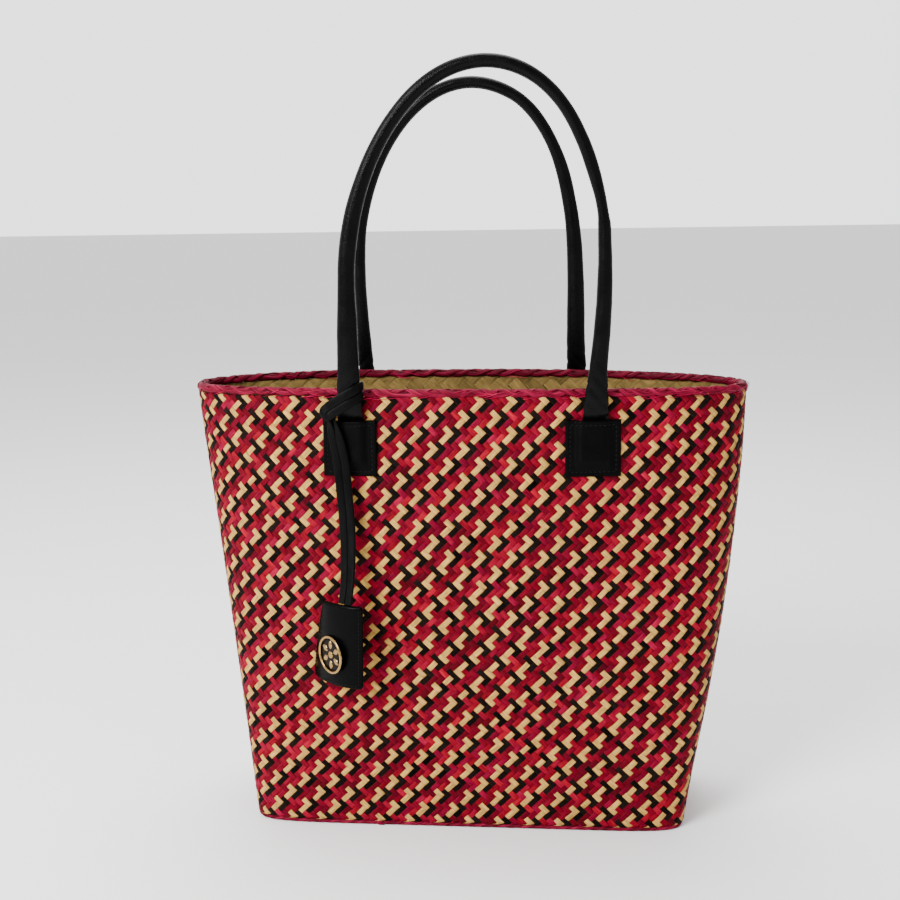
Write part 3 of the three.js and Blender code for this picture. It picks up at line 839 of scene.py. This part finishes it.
def makeBaseCord(look):
    steps = baseCord["steps"]
    u = np.linspace(0, wallRound, steps, endpoint=False)
    middle, _, out, up = ringFrames(u, np.zeros(steps), baseCord["diameter"] / 2)
    middle[:, 2] = baseCord["diameter"] / 2
    turns = round(wallRound / baseCord["lay"])
    parts, uvs = [], []
    halfWidth, radius, sides = baseCord["strandHalfWidth"], baseCord["strandRadius"], baseCord["sides"]
    reach = baseCord["diameter"] / 2 - radius
    for strand in range(baseCord["strands"]):
        theta = 2 * np.pi * (turns * u / wallRound + strand / baseCord["strands"])
        face = out * np.cos(theta)[:, None] + up * np.sin(theta)[:, None]
        path = middle + reach * face
        points, faces, uv = strandSurface(path, face, halfWidth, radius, sides, 30.0 * strand)
        parts.append((points, faces))
        uvs.append(uv)
    points, faces = joined(parts)
    points[:, 2] = np.maximum(points[:, 2], 0.0)
    edge = np.tile(np.abs(np.cos(ringAngles(sides))), baseCord["strands"] * steps)
    values = {"edge": edge, "shade": np.ones(len(points))}
    keep(addMesh("base_cord_twist", points, faces, look, np.concatenate(uvs), values), "raffia", "base_cord")


# A short whipping of raffia over the join in the base cord
whipping = {
    "across": -0.41,  # share of the way from the front centre to the right end
    "turns": 4,
    "pitch": 1.0,
    "radius": 2.1,
    "strandRadius": 0.62,
    "steps": 100,
    "sides": 8,
}


def makeWhipping(look):
    steps = whipping["steps"]
    u = np.linspace(-wallRound / 4, wallRound / 4, 1200)
    middle, along, out, up = ringFrames(u, np.zeros(len(u)), baseCord["diameter"] / 2)
    at = np.abs(middle[:, 0] - whipping["across"] * middle[1:-1, 0].max())[1:-1].argmin() + 1
    centre = np.array([middle[at, 0], middle[at, 1], baseCord["diameter"] / 2])
    t = np.linspace(-0.5, 0.5, steps)
    theta = 2 * np.pi * whipping["turns"] * t
    spoke = out[at] * np.cos(theta)[:, None] + up[at] * np.sin(theta)[:, None]
    shift = (t * whipping["turns"] * whipping["pitch"])[:, None]
    path = centre + along[at] * shift + spoke * whipping["radius"]
    half, sides = whipping["strandRadius"], whipping["sides"]
    points, faces = sweep(path, np.tile(along[at], (steps, 1)), spoke, half, half, sides)
    length = np.repeat(theta * whipping["radius"], sides)
    uv = np.stack([length, np.tile(np.arange(sides) * 0.5, steps)], -1)
    points[:, 2] = np.maximum(points[:, 2], 0.0)
    values = {"edge": np.zeros(len(points)), "shade": np.full(len(points), 1.15)}
    keep(addMesh("base_whipping", points, faces, look, uv, values), "raffia")


raffia = raffiaLook()
makeRim(raffia)
makeStrays(raffia)
makeBaseCord(raffia)
makeWhipping(raffia)
print("rim and base cord laid")

# Handles: a rolled strap each, flattened where it is sewn on
strap = {
    "end": 273.0,  # height of the sewn ends
    "archFoot": 405.0,
    "archRise": 132.0,
    "topDepth": 63.5,
    "width": 10.0,
    "thickness": 9.6,
    "leanPower": 1.5,
    "wallGap": 0.3,
    "overRim": 4.55,  # further off the wall above the patch, past the binding and the lace
    "liftFrom": 301.0,
    "liftTo": 308.0,
    "along": (0.0, 0.12, 0.225, 0.275, 0.33, 0.45, 0.6, 0.8, 1.0, 2.0),
    "widths": (1.6, 1.59, 1.57, 1.54, 1.48, 1.28, 1.13, 1.04, 1.0, 0.84),
    "thicknesses": (0.25, 0.26, 0.28, 0.4, 0.56, 0.78, 0.93, 1.0, 1.0, 1.0),
    "legSteps": 90,
    "archSteps": 60,
    "sides": 28,
    "creaseStep": 11.0,
    "creaseSlope": 1.1,
    "creaseMiddle": 316.0,
    "creaseReach": 17.0,
    "creaseDepth": 0.8,
}
handles = {
    "handle_front": {
        "side": -1,
        "feet": 167.4,
        "legs": 173.2,
        "feetShift": 5.7,
        "legsShift": 7.4,
        "lean": 10.0,
    },
    "handle_back": {
        "side": 1,
        "feet": 162.5,
        "legs": 166.0,
        "feetShift": -3.0,
        "legsShift": -6.0,
        "lean": 5.2,
    },
}
# worn shape of each leg: height, how much wider than even, and how far it leans across, in mm
legShapes = {
    ("handle_front", -1): [
        (273, 1.19, 1.5), (318, 1.19, 1.5), (337, 1.23, 1.5), (360, 1.29, 1.0),
        (372, 1.27, 0.9), (390, 1.16, 0.4), (405, 1.16, 0.3), (425, 1.2, 0.7),
        (443, 1.17, 0.85), (461, 1.09, 1.2), (485, 1.05, 1.3), (505, 1.05, 1.1),
        (520, 1.06, 0.5), (538, 1.1, 0.0),
    ],
    ("handle_front", 1): [
        (273, 1.14, 0.4), (305, 1.14, 0.4), (318, 1.1, 0.35), (337, 0.99, 0.5),
        (360, 1.03, 1.3), (380, 1.02, 1.2), (395, 1.0, 0.5), (405, 0.95, -0.2),
        (420, 0.91, -0.7), (432, 0.89, -0.35), (438, 0.75, -0.4), (450, 0.77, -0.75),
        (458, 0.85, -1.2), (470, 0.93, -1.5), (490, 0.93, -1.4), (510, 0.93, -0.5),
        (525, 0.98, 0.0), (538, 1.1, 0.0),
    ],
    ("handle_back", -1): [
        (273, 0.9, 1.4), (323, 0.88, 1.4), (344, 0.93, 0.75), (366, 0.88, 0.25),
        (387, 0.9, -0.35), (408, 0.88, 0.1), (430, 0.95, -0.75), (451, 1.0, -0.7),
        (472, 1.0, -0.5), (492, 1.0, -0.3), (538, 1.08, 0.0),
    ],
    ("handle_back", 1): [
        (273, 1.0, 1.5), (323, 1.09, 1.5), (344, 1.18, 0.8), (366, 1.26, 0.65),
        (387, 1.25, 0.3), (408, 1.21, -0.7), (420, 1.18, -1.2), (430, 1.13, -1.4),
        (451, 1.08, -1.5), (461, 1.08, -1.1), (472, 1.06, -0.6), (482, 1.0, -0.2),
        (492, 0.96, 0.2), (502, 0.97, 0.6), (515, 1.0, 1.4), (525, 0.98, 1.8),
        (538, 1.08, 0.0),
    ],
}


def strapSize(along):
    width = np.interp(along, strap["along"], strap["widths"]) * strap["width"]
    return width, np.interp(along, strap["along"], strap["thicknesses"]) * strap["thickness"]


def strapLine(handle, end, along):
    # a leg straight up to the arch's foot, then a quarter of an ellipse; it leans as it rises
    onArch = np.maximum(along - 1, 0) * np.pi / 2
    leg = np.minimum(along, 1)
    z = strap["end"] + (strap["archFoot"] - strap["end"]) * leg + strap["archRise"] * np.sin(onArch)
    spread = (handle["feet"] + (handle["legs"] - handle["feet"]) * leg) / 2
    shift = handle["feetShift"] + (handle["legsShift"] - handle["feetShift"]) * leg
    top = strap["archFoot"] + strap["archRise"]
    rise = np.clip((z - wall["height"]) / (top - wall["height"]), 0, 1)
    x = shift + handle["lean"] * rise ** strap["leanPower"] + end * spread * np.cos(onArch)
    width, thickness = strapSize(along)
    lift = strap["wallGap"] + strap["overRim"] * ease(z, strap["liftFrom"], strap["liftTo"])
    seat = wallDepth(x, np.minimum(z, wall["height"])) + lift + thickness / 2
    footX = handle["feetShift"] + end * handle["feet"] / 2
    share = (wall["height"] - strap["end"]) / (strap["archFoot"] - strap["end"])
    atRim = wallDepth(footX, wall["height"]) + strap["wallGap"] + strap["overRim"]
    atRim = atRim + strapSize(share)[1] / 2
    depth = np.where(z < wall["height"], seat, atRim + (strap["topDepth"] - atRim) * rise)
    return np.stack([x, handle["side"] * depth, z], -1), width, thickness


def shapeLeg(name, end, leg):
    path, width, thickness = leg
    height, girth, lean = np.array(legShapes[name, end], float).T
    path[:, 0] += np.interp(path[:, 2], height, lean)
    return path, width * np.interp(path[:, 2], height, girth), thickness


def makeHandle(name, handle, look):
    along = np.concatenate([
        np.linspace(0, 1, strap["legSteps"], endpoint=False),
        np.linspace(1, 2, strap["archSteps"] + 1),
    ])
    left, leftWidth, leftThickness = shapeLeg(name, -1, strapLine(handle, -1, along))
    right, rightWidth, rightThickness = shapeLeg(name, 1, strapLine(handle, 1, along))
    path = np.concatenate([left, right[-2::-1]])
    width = np.concatenate([leftWidth, rightWidth[-2::-1]])
    thickness = np.concatenate([leftThickness, rightThickness[-2::-1]])
    tangent = unit(np.gradient(path, axis=0))
    z = np.minimum(path[:, 2], wall["height"])
    slope = (wallDepth(path[:, 0] + 1, z) - wallDepth(path[:, 0] - 1, z)) / 2
    free = ease(path[:, 2], wall["height"], strap["archFoot"])
    turned = handle["side"] * slope * (1 - free)
    facing = unit(np.stack([turned, -np.ones(len(path)), np.zeros(len(path))], -1))
    across = unit(np.cross(facing, tangent))
    out = np.cross(tangent, across)
    points, faces = sweep(path, across, out, width / 2, thickness / 2, strap["sides"])
    # diagonal creases where the strap flattens: narrow valleys that fade upwards
    points = points.reshape(len(path), strap["sides"], 3)
    wide = np.sum((points - path[:, None]) * across[:, None], -1)
    height = points[..., 2]
    valley = np.cos(np.pi * (height + strap["creaseSlope"] * wide) / strap["creaseStep"]) ** 12
    near = np.exp(-(((height - strap["creaseMiddle"]) / strap["creaseReach"]) ** 2))
    outward = unit(points - path[:, None])
    points = (points - outward * (strap["creaseDepth"] * valley * near)[..., None]).reshape(-1, 3)
    wide = (ringAngles(strap["sides"]) * strap["width"] / 2)[None]
    uv = np.stack(np.broadcast_arrays(runLength(path)[:, None], wide), -1).reshape(-1, 2)
    points, faces = capped(points, faces, strap["sides"])
    uv = np.concatenate([uv, uv[[0, -1]]])
    keep(addMesh(name + "_strap", points, faces, look, uv), "black_leather", name)


strapLeather = leatherLook("strap_leather", 0.25, 1.4, 0.8, 0.06)
for name, handle in handles.items():
    makeHandle(name, handle, strapLeather)
print("handles made")

# Patches: leather squares shaped over the sewn ends, with a line of stitches inside each edge
patchSize = {
    "width": 38.0,
    "height": 39.0,
    "top": 301.0,
    "thickness": 1.8,
    "edgeRound": 1.3,
    "strapRaise": 0.6,  # over the strap's own thickness
    "across": (0.0, 0.42, 0.5, 0.64, 1.0),
    "acrossRaised": (1.0, 1.0, 0.8, 0.0, 0.0),
    "up": (0.0, 0.1, 0.16, 0.28, 1.0),
    "upRaised": (0.0, 0.0, 0.25, 1.0, 1.0),
    "steps": 41,
    "stitchInset": 3.4,
    "stitchStep": 3.1,
    "stitchLength": 2.2,
    "stitchRadius": 0.38,
    "stitchSunk": 0.12,
    "stitchDip": 0.28,  # the groove that the thread pulls in
    "dipHalfWidth": 0.5,
}


def patchSurface(middle, side, a, b, above):
    # a is -1 to 1 across the patch, b is 0 to 1 up it; above is measured off its wall side
    share = (patchSize["top"] - strap["end"]) / (strap["archFoot"] - strap["end"])
    raised = strapSize(share)[1] + patchSize["strapRaise"]
    raised = raised * np.interp(np.abs(a), patchSize["across"], patchSize["acrossRaised"])
    raised = raised * np.interp(b, patchSize["up"], patchSize["upRaised"])
    x = middle + a * patchSize["width"] / 2
    z = patchSize["top"] - patchSize["height"] * (1 - b)
    y = wallDepth(x, z) + strap["wallGap"] + raised + above
    return np.stack([x, side * y, z], -1)


def stitchRun(centres, along, out, length, radius):
    # a short thread at each centre: an ellipsoid of few faces, sunk half way
    rings, sides = 5, 6
    t = np.linspace(0, np.pi, rings)
    turn = np.arange(sides) / sides * 2 * np.pi
    side = np.cross(along, out)
    reach = radius * np.sin(t)[:, None]
    local = (
        (-np.cos(t) * length / 2)[None, :, None, None] * along[:, None, None]
        + (reach * np.cos(turn))[None, :, :, None] * side[:, None, None]
        + (reach * np.sin(turn))[None, :, :, None] * out[:, None, None]
    )
    points = (centres[:, None, None] + local).reshape(-1, 3)
    return points, copies(gridFaces(rings, sides, False, True), len(centres), rings * sides)


def makePatch(name, middle, side, look, thread):
    n = patchSize["steps"]
    edge = 1 - np.cos(np.linspace(0, np.pi, n))  # finer towards the edges
    a, b = np.meshgrid(edge - 1, edge / 2, indexing="xy")
    fromEdge = np.minimum(
        (1 - np.abs(a)) * patchSize["width"] / 2, (0.5 - np.abs(b - 0.5)) * patchSize["height"]
    )
    roll = np.clip(fromEdge / patchSize["edgeRound"], 0, 1)
    above = patchSize["thickness"] * np.sqrt(1 - (1 - roll) ** 2)
    inset = fromEdge - patchSize["stitchInset"]
    above = above - patchSize["stitchDip"] * np.exp(-((inset / patchSize["dipHalfWidth"]) ** 2))
    top = patchSurface(middle, side, a, b, np.maximum(above, 0.02)).reshape(-1, 3)
    under = patchSurface(middle, side, a, b, np.zeros_like(a)).reshape(-1, 3)
    faces = gridFaces(n, n)
    border = np.concatenate([
        np.arange(n),
        np.arange(1, n) * n + n - 1,
        (n - 1) * n + np.arange(n - 2, -1, -1),
        np.arange(n - 2, 0, -1) * n,
    ])
    following = np.roll(border, -1)
    skirt = np.stack([border, border + n * n, following + n * n, following], -1)
    allFaces = np.concatenate([faces, faces[:, ::-1] + n * n, skirt])
    if side > 0:
        allFaces = allFaces[:, ::-1]
    flat = np.stack([a * patchSize["width"] / 2, b * patchSize["height"]], -1).reshape(-1, 2)
    points, uv = np.concatenate([top, under]), np.concatenate([flat, flat])
    keep(addMesh(name + "_leather", points, allFaces, look, uv), "black_leather", name)
    halfA = 1 - patchSize["stitchInset"] / (patchSize["width"] / 2)
    halfB = 0.5 - patchSize["stitchInset"] / patchSize["height"]
    across = int(2 * halfA * patchSize["width"] / 2 / patchSize["stitchStep"])
    upward = int(2 * halfB * patchSize["height"] / patchSize["stitchStep"])
    ta = (np.arange(across) + 0.5) / across * 2 - 1
    tb = (np.arange(upward) + 0.5) / upward * 2 - 1
    sa = np.concatenate([ta * halfA, ta * halfA, np.full(upward, -halfA), np.full(upward, halfA)])
    sb = np.concatenate([np.full(across, -halfB), np.full(across, halfB), tb * halfB, tb * halfB]) + 0.5
    step = 0.02
    goA = np.concatenate([np.full(2 * across, step), np.zeros(2 * upward)])
    goB = np.concatenate([np.zeros(2 * across), np.full(2 * upward, step)])
    level = patchSize["thickness"] - patchSize["stitchSunk"]
    centre = patchSurface(middle, side, sa, sb, level)
    ahead = patchSurface(middle, side, sa + goA, sb + goB, level)
    along = unit(ahead - patchSurface(middle, side, sa - goA, sb - goB, level))
    out = np.tile([0.0, float(side), 0.0], (len(centre), 1))
    out = unit(out - along * np.sum(out * along, -1, keepdims=True))
    points, faces = stitchRun(centre, along, out, patchSize["stitchLength"], patchSize["stitchRadius"])
    keep(addMesh(name + "_stitches", points, faces, thread), "black_leather")


patchLeather = leatherLook("patch_leather", 0.42, 1.2, 0.25, 0.03)
threadLook = plainLook("thread", (0.006, 0.006, 0.0065), 0.5)
for name, handle in handles.items():
    for end, label in ((-1, "left"), (1, "right")):
        middle = handle["feetShift"] + end * handle["feet"] / 2
        patch = "patch_" + name.split("_")[1] + "_" + label
        makePatch(patch, middle, handle["side"], patchLeather, threadLook)
print("patches sewn")

# The lace, doubled over the foot of the front handle's left leg, and the tag that hangs on it
laceSize = {
    "width": 5.8,
    "thickness": 2.2,
    "steps": 420,
    "sides": 20,
    "groove": 0.3,
    "grooveWidth": 0.16,
    "hitchSpread": 0.08,
}
# across the strap's foot, out of the wall and up from its top edge in mm; facing in degrees
laceRoute = [
    (-4.8, 25, -138.6, -122), (-3.5, 22, -125, -118), (-3.1, 18.4, -108, -106),
    (-3.8, 14.9, -87, -96), (-5.8, 11.8, -63, -90), (-8.2, 9.7, -40, -92),
    (-11.4, 8.8, -22, -108), (-13.3, 7.2, -11.4, -168), (-11.6, 4.7, -4.5, -225),
    (-6.2, 3.15, 0.7, -270), (0.5, 3.15, 4.9, -270), (6.8, 3.7, 8.7, -285),
    (10.4, 7, 10.5, -360), (7.2, 12.2, 8.9, -435), (0, 13.6, 4.9, -450),
    (-7.4, 12.6, 0.3, -460), (-13.1, 11.2, -3.5, -470), (-16.2, 10.9, -6.9, -472),
    (-14.1, 11.3, -10.1, -470), (-8.1, 12.1, -7.1, -460), (-0.4, 12.8, -2.3, -450),
    (6.9, 11.4, 1.9, -435), (10.2, 7, 3.7, -360), (7, 3.6, 2.1, -285),
    (0.5, 3.1, -2.1, -270), (-6, 2.95, -5.2, -260), (-10.8, 5.2, -9.1, -196),
    (-9.5, 8.3, -14.6, -140), (-6.4, 9.6, -23.5, -104), (-2.8, 10.1, -39, -92),
    (-0.4, 12, -63, -90), (1.6, 15.8, -87, -96), (2.1, 20.2, -108, -106),
    (1.5, 24.3, -125, -118), (0, 27.5, -138.6, -122),
]


def lacePath():
    front = handles["handle_front"]
    footX = front["feetShift"] - front["feet"] / 2
    footY = -wallDepth(footX, wall["height"])
    rows = np.array(laceRoute)
    chosen = np.stack([footX + rows[:, 0], footY - rows[:, 1], wall["height"] + rows[:, 2]], -1)
    gaps = np.sqrt(np.linalg.norm(np.diff(chosen, axis=0), axis=1))
    places = np.concatenate([[0.0], np.cumsum(gaps)])
    at = np.linspace(0, places[-1], laceSize["steps"])
    path = np.stack([smoothRead(at, places, chosen[:, k]) for k in range(3)], -1)
    return path, np.radians(smoothRead(at, places, rows[:, 3]))


def makeLace(look):
    path, facing = lacePath()
    tangent = unit(np.gradient(path, axis=0))
    aim = np.stack([np.cos(facing), np.sin(facing), np.zeros(len(facing))], -1)
    across = unit(np.cross(aim, tangent))
    out = np.cross(tangent, across)
    sides = laceSize["sides"]
    hitch = ease(path[:, 2], wall["height"] - 14, wall["height"] - 6)
    width = laceSize["width"] * (1 + laceSize["hitchSpread"] * hitch)
    points, faces = sweep(path, across, out, width / 2, laceSize["thickness"] / 2, sides, 3.0)
    turn = ringAngles(sides)
    place = bent(np.cos(turn), 2 / 3)
    groove = laceSize["groove"] * np.exp(-((place / laceSize["grooveWidth"]) ** 2)) * np.sign(np.sin(turn))
    points = points.reshape(len(path), sides, 3) - out[:, None] * groove[None, :, None]
    length = runLength(path)
    wide = (place * laceSize["width"] / 2)[None]
    uv = np.stack(np.broadcast_arrays(length[:, None], wide), -1).reshape(-1, 2)
    points, faces = capped(points.reshape(-1, 3), faces, sides)
    piece = addMesh("lace", points, faces, look, np.concatenate([uv, uv[[0, -1]]]))
    keep(piece, "black_leather", "tag_lace")
    return piece, path, float(length[-1])


tag = {
    "topWidth": 35.0,
    "bottomWidth": 48.5,
    "flare": 6.0,  # how much further the left edge spreads at the bottom
    "lean": 8.0,
    "height": 60.0,
    "thickness": 4.0,
    "curve": 50.0,
    "facing": -120.5,
    "centre": (-88.0, -83.0, 146.0),
    "corner": 3.0,
    "pillow": 0.5,
    "rings": 61,
    "around": 96,
    "stitchInset": 2.6,
    "stitchStep": 2.6,
    "stitchLength": 1.9,
    "stitchRadius": 0.3,
}
emblem = {
    "diameter": 27.5,
    "rim": 2.2,
    "rise": 1.8,
    "drop": 7.0,
    "shift": 4.0,
    "gap": 0.7,
    "turn": -10.0,
    "petals": 6,
    "petalFrom": 3.9,
    "petalLength": 6.6,
    "petalHalfWidth": 2.1,
    "petalRise": 0.75,
    "domeRadius": 2.7,
    "domeRise": 1.1,
    "ground": 0.5,  # the plate's height, from which petals and dome rise
}


def tagPlace(across, up, depth):
    # across: mm round the bend from the tag's middle; up: mm above it; depth: mm in from its outer face
    facing = np.radians(tag["facing"])
    turn = facing + (across + tag["lean"] * up / tag["height"]) / tag["curve"]
    radius = tag["curve"] - depth
    x = tag["centre"][0] - tag["curve"] * np.cos(facing) + radius * np.cos(turn)
    y = tag["centre"][1] - tag["curve"] * np.sin(facing) + radius * np.sin(turn)
    return np.stack(np.broadcast_arrays(x, y, tag["centre"][2] + up), -1)


def tagHalf(up):
    share = 0.5 - up / tag["height"]
    return (tag["topWidth"] + (tag["bottomWidth"] - tag["topWidth"]) * share) / 2


def makeTag(look, thread):
    # a closed section round the slab at each height, shrunk to nothing at the top and bottom edges
    q = -np.cos(np.linspace(0, np.pi, tag["rings"]))
    up = q * tag["height"] / 2
    fromEnd = tag["height"] / 2 - np.abs(up)
    corner = np.clip(fromEnd / tag["corner"], 0, 1)
    inset = tag["corner"] * (1 - np.sqrt(np.maximum(1 - (1 - corner) ** 2, 0)))
    thin = np.clip(fromEnd / (tag["thickness"] / 2), 0, 1)
    thin = np.sqrt(np.maximum(1 - (1 - thin) ** 2, 0))
    angle = np.arange(tag["around"]) / tag["around"] * 2 * np.pi
    c, s = np.cos(angle), np.sin(angle)
    p, face = bent(c, 0.28), bent(s, 0.5)
    half = tagHalf(up)[:, None] - inset[:, None]
    swell = tag["pillow"] * (1 - p[None] ** 2) * (1 - q[:, None] ** 2) * (face[None] > 0)
    depth = tag["thickness"] / 2 * (1 - face[None] * thin[:, None]) - swell
    spread = np.minimum(p[None], 0.0) * tag["flare"] * (0.5 - up[:, None] / tag["height"])
    points = tagPlace(p[None] * half + spread, up[:, None], depth)
    faces = gridFaces(tag["rings"], tag["around"], False, True)
    uv = np.stack(np.broadcast_arrays(up[:, None], p[None] * half), -1).reshape(-1, 2)
    pieces = [addMesh("tag_leather", points.reshape(-1, 3), faces, look, uv)]
    keep(pieces[0], "black_leather", "tag_pouch")
    # stitches up both sides and along the bottom
    step = tag["stitchStep"]
    t = np.arange(int((tag["height"] - 2 * tag["stitchInset"]) / step)) * step
    side = -tag["height"] / 2 + tag["stitchInset"] + step / 2 + t
    half = tagHalf(side) - tag["stitchInset"]
    bottom = np.arange(-7, 8) * step * 1.05
    low = np.full(len(bottom), -tag["height"] / 2 + tag["stitchInset"])
    left = -half - tag["flare"] * (0.5 - side / tag["height"])
    across = np.concatenate([half, left, bottom])
    upAll = np.concatenate([side, side, low])
    goAcross = np.concatenate([np.zeros(2 * len(side)), np.full(len(bottom), 0.3)])
    goUp = np.concatenate([np.full(2 * len(side), 0.3), np.zeros(len(bottom))])
    centre = tagPlace(across, upAll, np.full(len(across), 0.05))
    ahead = tagPlace(across + goAcross, upAll + goUp, 0.05)
    along = unit(ahead - tagPlace(across - goAcross, upAll - goUp, 0.05))
    out = unit(tagPlace(across, upAll, -1.0) - centre)
    points, faces = stitchRun(centre, along, out, tag["stitchLength"], tag["stitchRadius"])
    pieces.append(addMesh("tag_stitches", points, faces, thread))
    keep(pieces[1], "black_leather")
    return pieces


def discFrame():
    facing = np.radians(tag["facing"]) - emblem["shift"] / tag["curve"]
    across = -emblem["shift"] + tag["lean"] * emblem["drop"] / tag["height"]
    centre = tagPlace(across, -emblem["drop"], -emblem["gap"])
    facing = facing + np.radians(emblem["turn"])
    out = np.array([np.cos(facing), np.sin(facing), 0.0])
    return centre, np.array([-out[1], out[0], 0.0]), np.array([0.0, 0.0, 1.0]), out


def onDisc(radius, angle, height):
    centre, right, up, out = discFrame()
    radius, angle, height = np.broadcast_arrays(radius, angle, height)
    return (
        centre
        + right * (radius * np.cos(angle))[..., None]
        + up * (radius * np.sin(angle))[..., None]
        + out * height[..., None]
    )


def makeEmblem(gold, dark):
    turn = np.linspace(0, 2 * np.pi, 96, endpoint=False)[:, None]
    around = np.linspace(0, 2 * np.pi, 16, endpoint=False)[None]
    half, halfRise = emblem["rim"] / 2, emblem["rise"] / 2
    mid = emblem["diameter"] / 2 - half
    ring = onDisc(mid + half * np.cos(around), turn, halfRise + halfRise * np.sin(around))
    parts = [(ring.reshape(-1, 3), gridFaces(96, 16, True, True)[:, ::-1])]
    # rosette: almond petals, highest along the middle, round a dome
    along = np.linspace(0, 1, 13)[:, None]
    width = np.linspace(-1, 1, 9)[None]
    belly = np.sin(np.pi * along)
    radius = emblem["petalFrom"] + emblem["petalLength"] * along + 0 * width
    side = emblem["petalHalfWidth"] * belly**0.8 * width
    crown = np.sqrt(np.maximum(1 - width**2, 0)) * belly**0.5
    height = emblem["ground"] + emblem["petalRise"] * crown
    for k in range(emblem["petals"]):
        angle = 2 * np.pi * (k + 0.5) / emblem["petals"] + np.arctan2(side, radius)
        petal = onDisc(np.hypot(radius, side), angle, height)
        parts.append((petal.reshape(-1, 3), gridFaces(13, 9)[:, ::-1]))
    rising = np.linspace(0, np.pi / 2, 8)[:, None]
    spin = np.linspace(0, 2 * np.pi, 24, endpoint=False)[None]
    height = emblem["ground"] + emblem["domeRise"] * np.sin(rising)
    dome = onDisc(emblem["domeRadius"] * np.cos(rising), spin, height)
    parts.append((dome.reshape(-1, 3), gridFaces(8, 24, False, True)))
    points, faces = joined(parts)
    medal = addMesh("emblem_gold", points, faces, gold)
    keep(medal, "brass", "tag_emblem")
    # the dark plate inside the rim, a little crowned
    radii = np.array([mid, mid - 0.3, 8.0, 4.0, 0.02])[:, None]
    heights = np.array([0.0, 0.5, 0.55, 0.6, 0.62])[:, None]
    plate = onDisc(radii, spin, heights).reshape(-1, 3)
    enamel = addMesh("emblem_ground", plate, gridFaces(5, 24, False, True), dark)
    keep(enamel, "black_leather")
    return [medal, enamel]


laceLeather = leatherLook("lace_leather", 0.34, 1.6, 0.9, 0.05)
tagLeather = leatherLook("tag_leather", 0.2, 1.3, 0.2, 0.03)
lace, laceLine, laceLength = makeLace(laceLeather)
gold = plainLook("gold", (0.33, 0.21, 0.075), 0.22, 1.0)
enamelLook = plainLook("emblem_ground", (0.004, 0.002, 0.0012), 0.35)
hanging = makeTag(tagLeather, threadLook) + makeEmblem(gold, enamelLook)
print("lace", round(laceLength), "mm, tag and emblem hung")

# A plain pale floor and soft lamps
floorSetup = {"half": 60000.0, "z": -0.05, "colour": (0.93, 0.93, 0.93)}


def makeStage():
    half, z = floorSetup["half"], floorSetup["z"]
    corners = np.array([[-half, -half, z], [half, -half, z], [half, half, z], [-half, half, z]])
    colour = (*floorSetup["colour"], 1.0)
    look = Look("floor", {"Roughness": 0.9, "Base Color": colour, "Specular IOR Level": 0.2})
    floor = addMesh("floor", corners, np.array([[0, 1, 2, 3]]), look.material, smooth=False)
    world = bpy.data.worlds.new("studio")
    bpy.context.scene.world = world
    world.use_nodes = True
    # brighter behind the bag than in front of it
    nodes, links = world.node_tree.nodes, world.node_tree.links
    background = nodes["Background"]
    background.inputs["Color"].default_value = (1.0, 1.0, 1.0, 1.0)
    way = nodes.new("ShaderNodeTexCoord")
    parts = nodes.new("ShaderNodeSeparateXYZ")
    strength = nodes.new("ShaderNodeMapRange")
    right = nodes.new("ShaderNodeMath")
    right.operation = "MULTIPLY_ADD"
    right.inputs[1].default_value = -lights["fall"]
    for place, key in enumerate(("frontAt", "backAt", "front", "back")):
        strength.inputs[place + 1].default_value = lights[key]
    links.new(way.outputs["Generated"], parts.inputs[0])
    links.new(parts.outputs["X"], right.inputs[0])
    links.new(parts.outputs["Y"], right.inputs[2])
    links.new(right.outputs[0], strength.inputs[0])
    links.new(strength.outputs[0], background.inputs["Strength"])
    for name, at, size, power in lights["areas"]:
        data = bpy.data.lights.new(name, "AREA")
        data.shape = "DISK"
        data.size = size
        data.energy = power
        lamp = bpy.data.objects.new(name, data)
        back = unit(np.array(at) - np.array(lights["aim"]))
        side = unit(np.cross([0.0, 0.0, 1.0], back))
        lamp.matrix_world = placement((side, np.cross(back, side), back), at)
        bpy.context.scene.collection.objects.link(lamp)


lights = {
    "frontAt": 0.2,
    "backAt": 0.8,
    "front": 0.85,  # the world's strength up to frontAt, and past backAt
    "back": 2.5,
    "fall": 0.75,  # how much dimmer it is to the right
    "aim": (0.0, 0.0, 0.25),
    "areas": [
        ("key", (-1.1, -1.4, 1.3), 1.0, 80.0),
        ("fill", (1.3, -1.2, 0.9), 1.4, 3.0),
        ("top", (0.0, 0.5, 1.9), 1.2, 30.0),
    ],
}
makeStage()
print("stage ready")
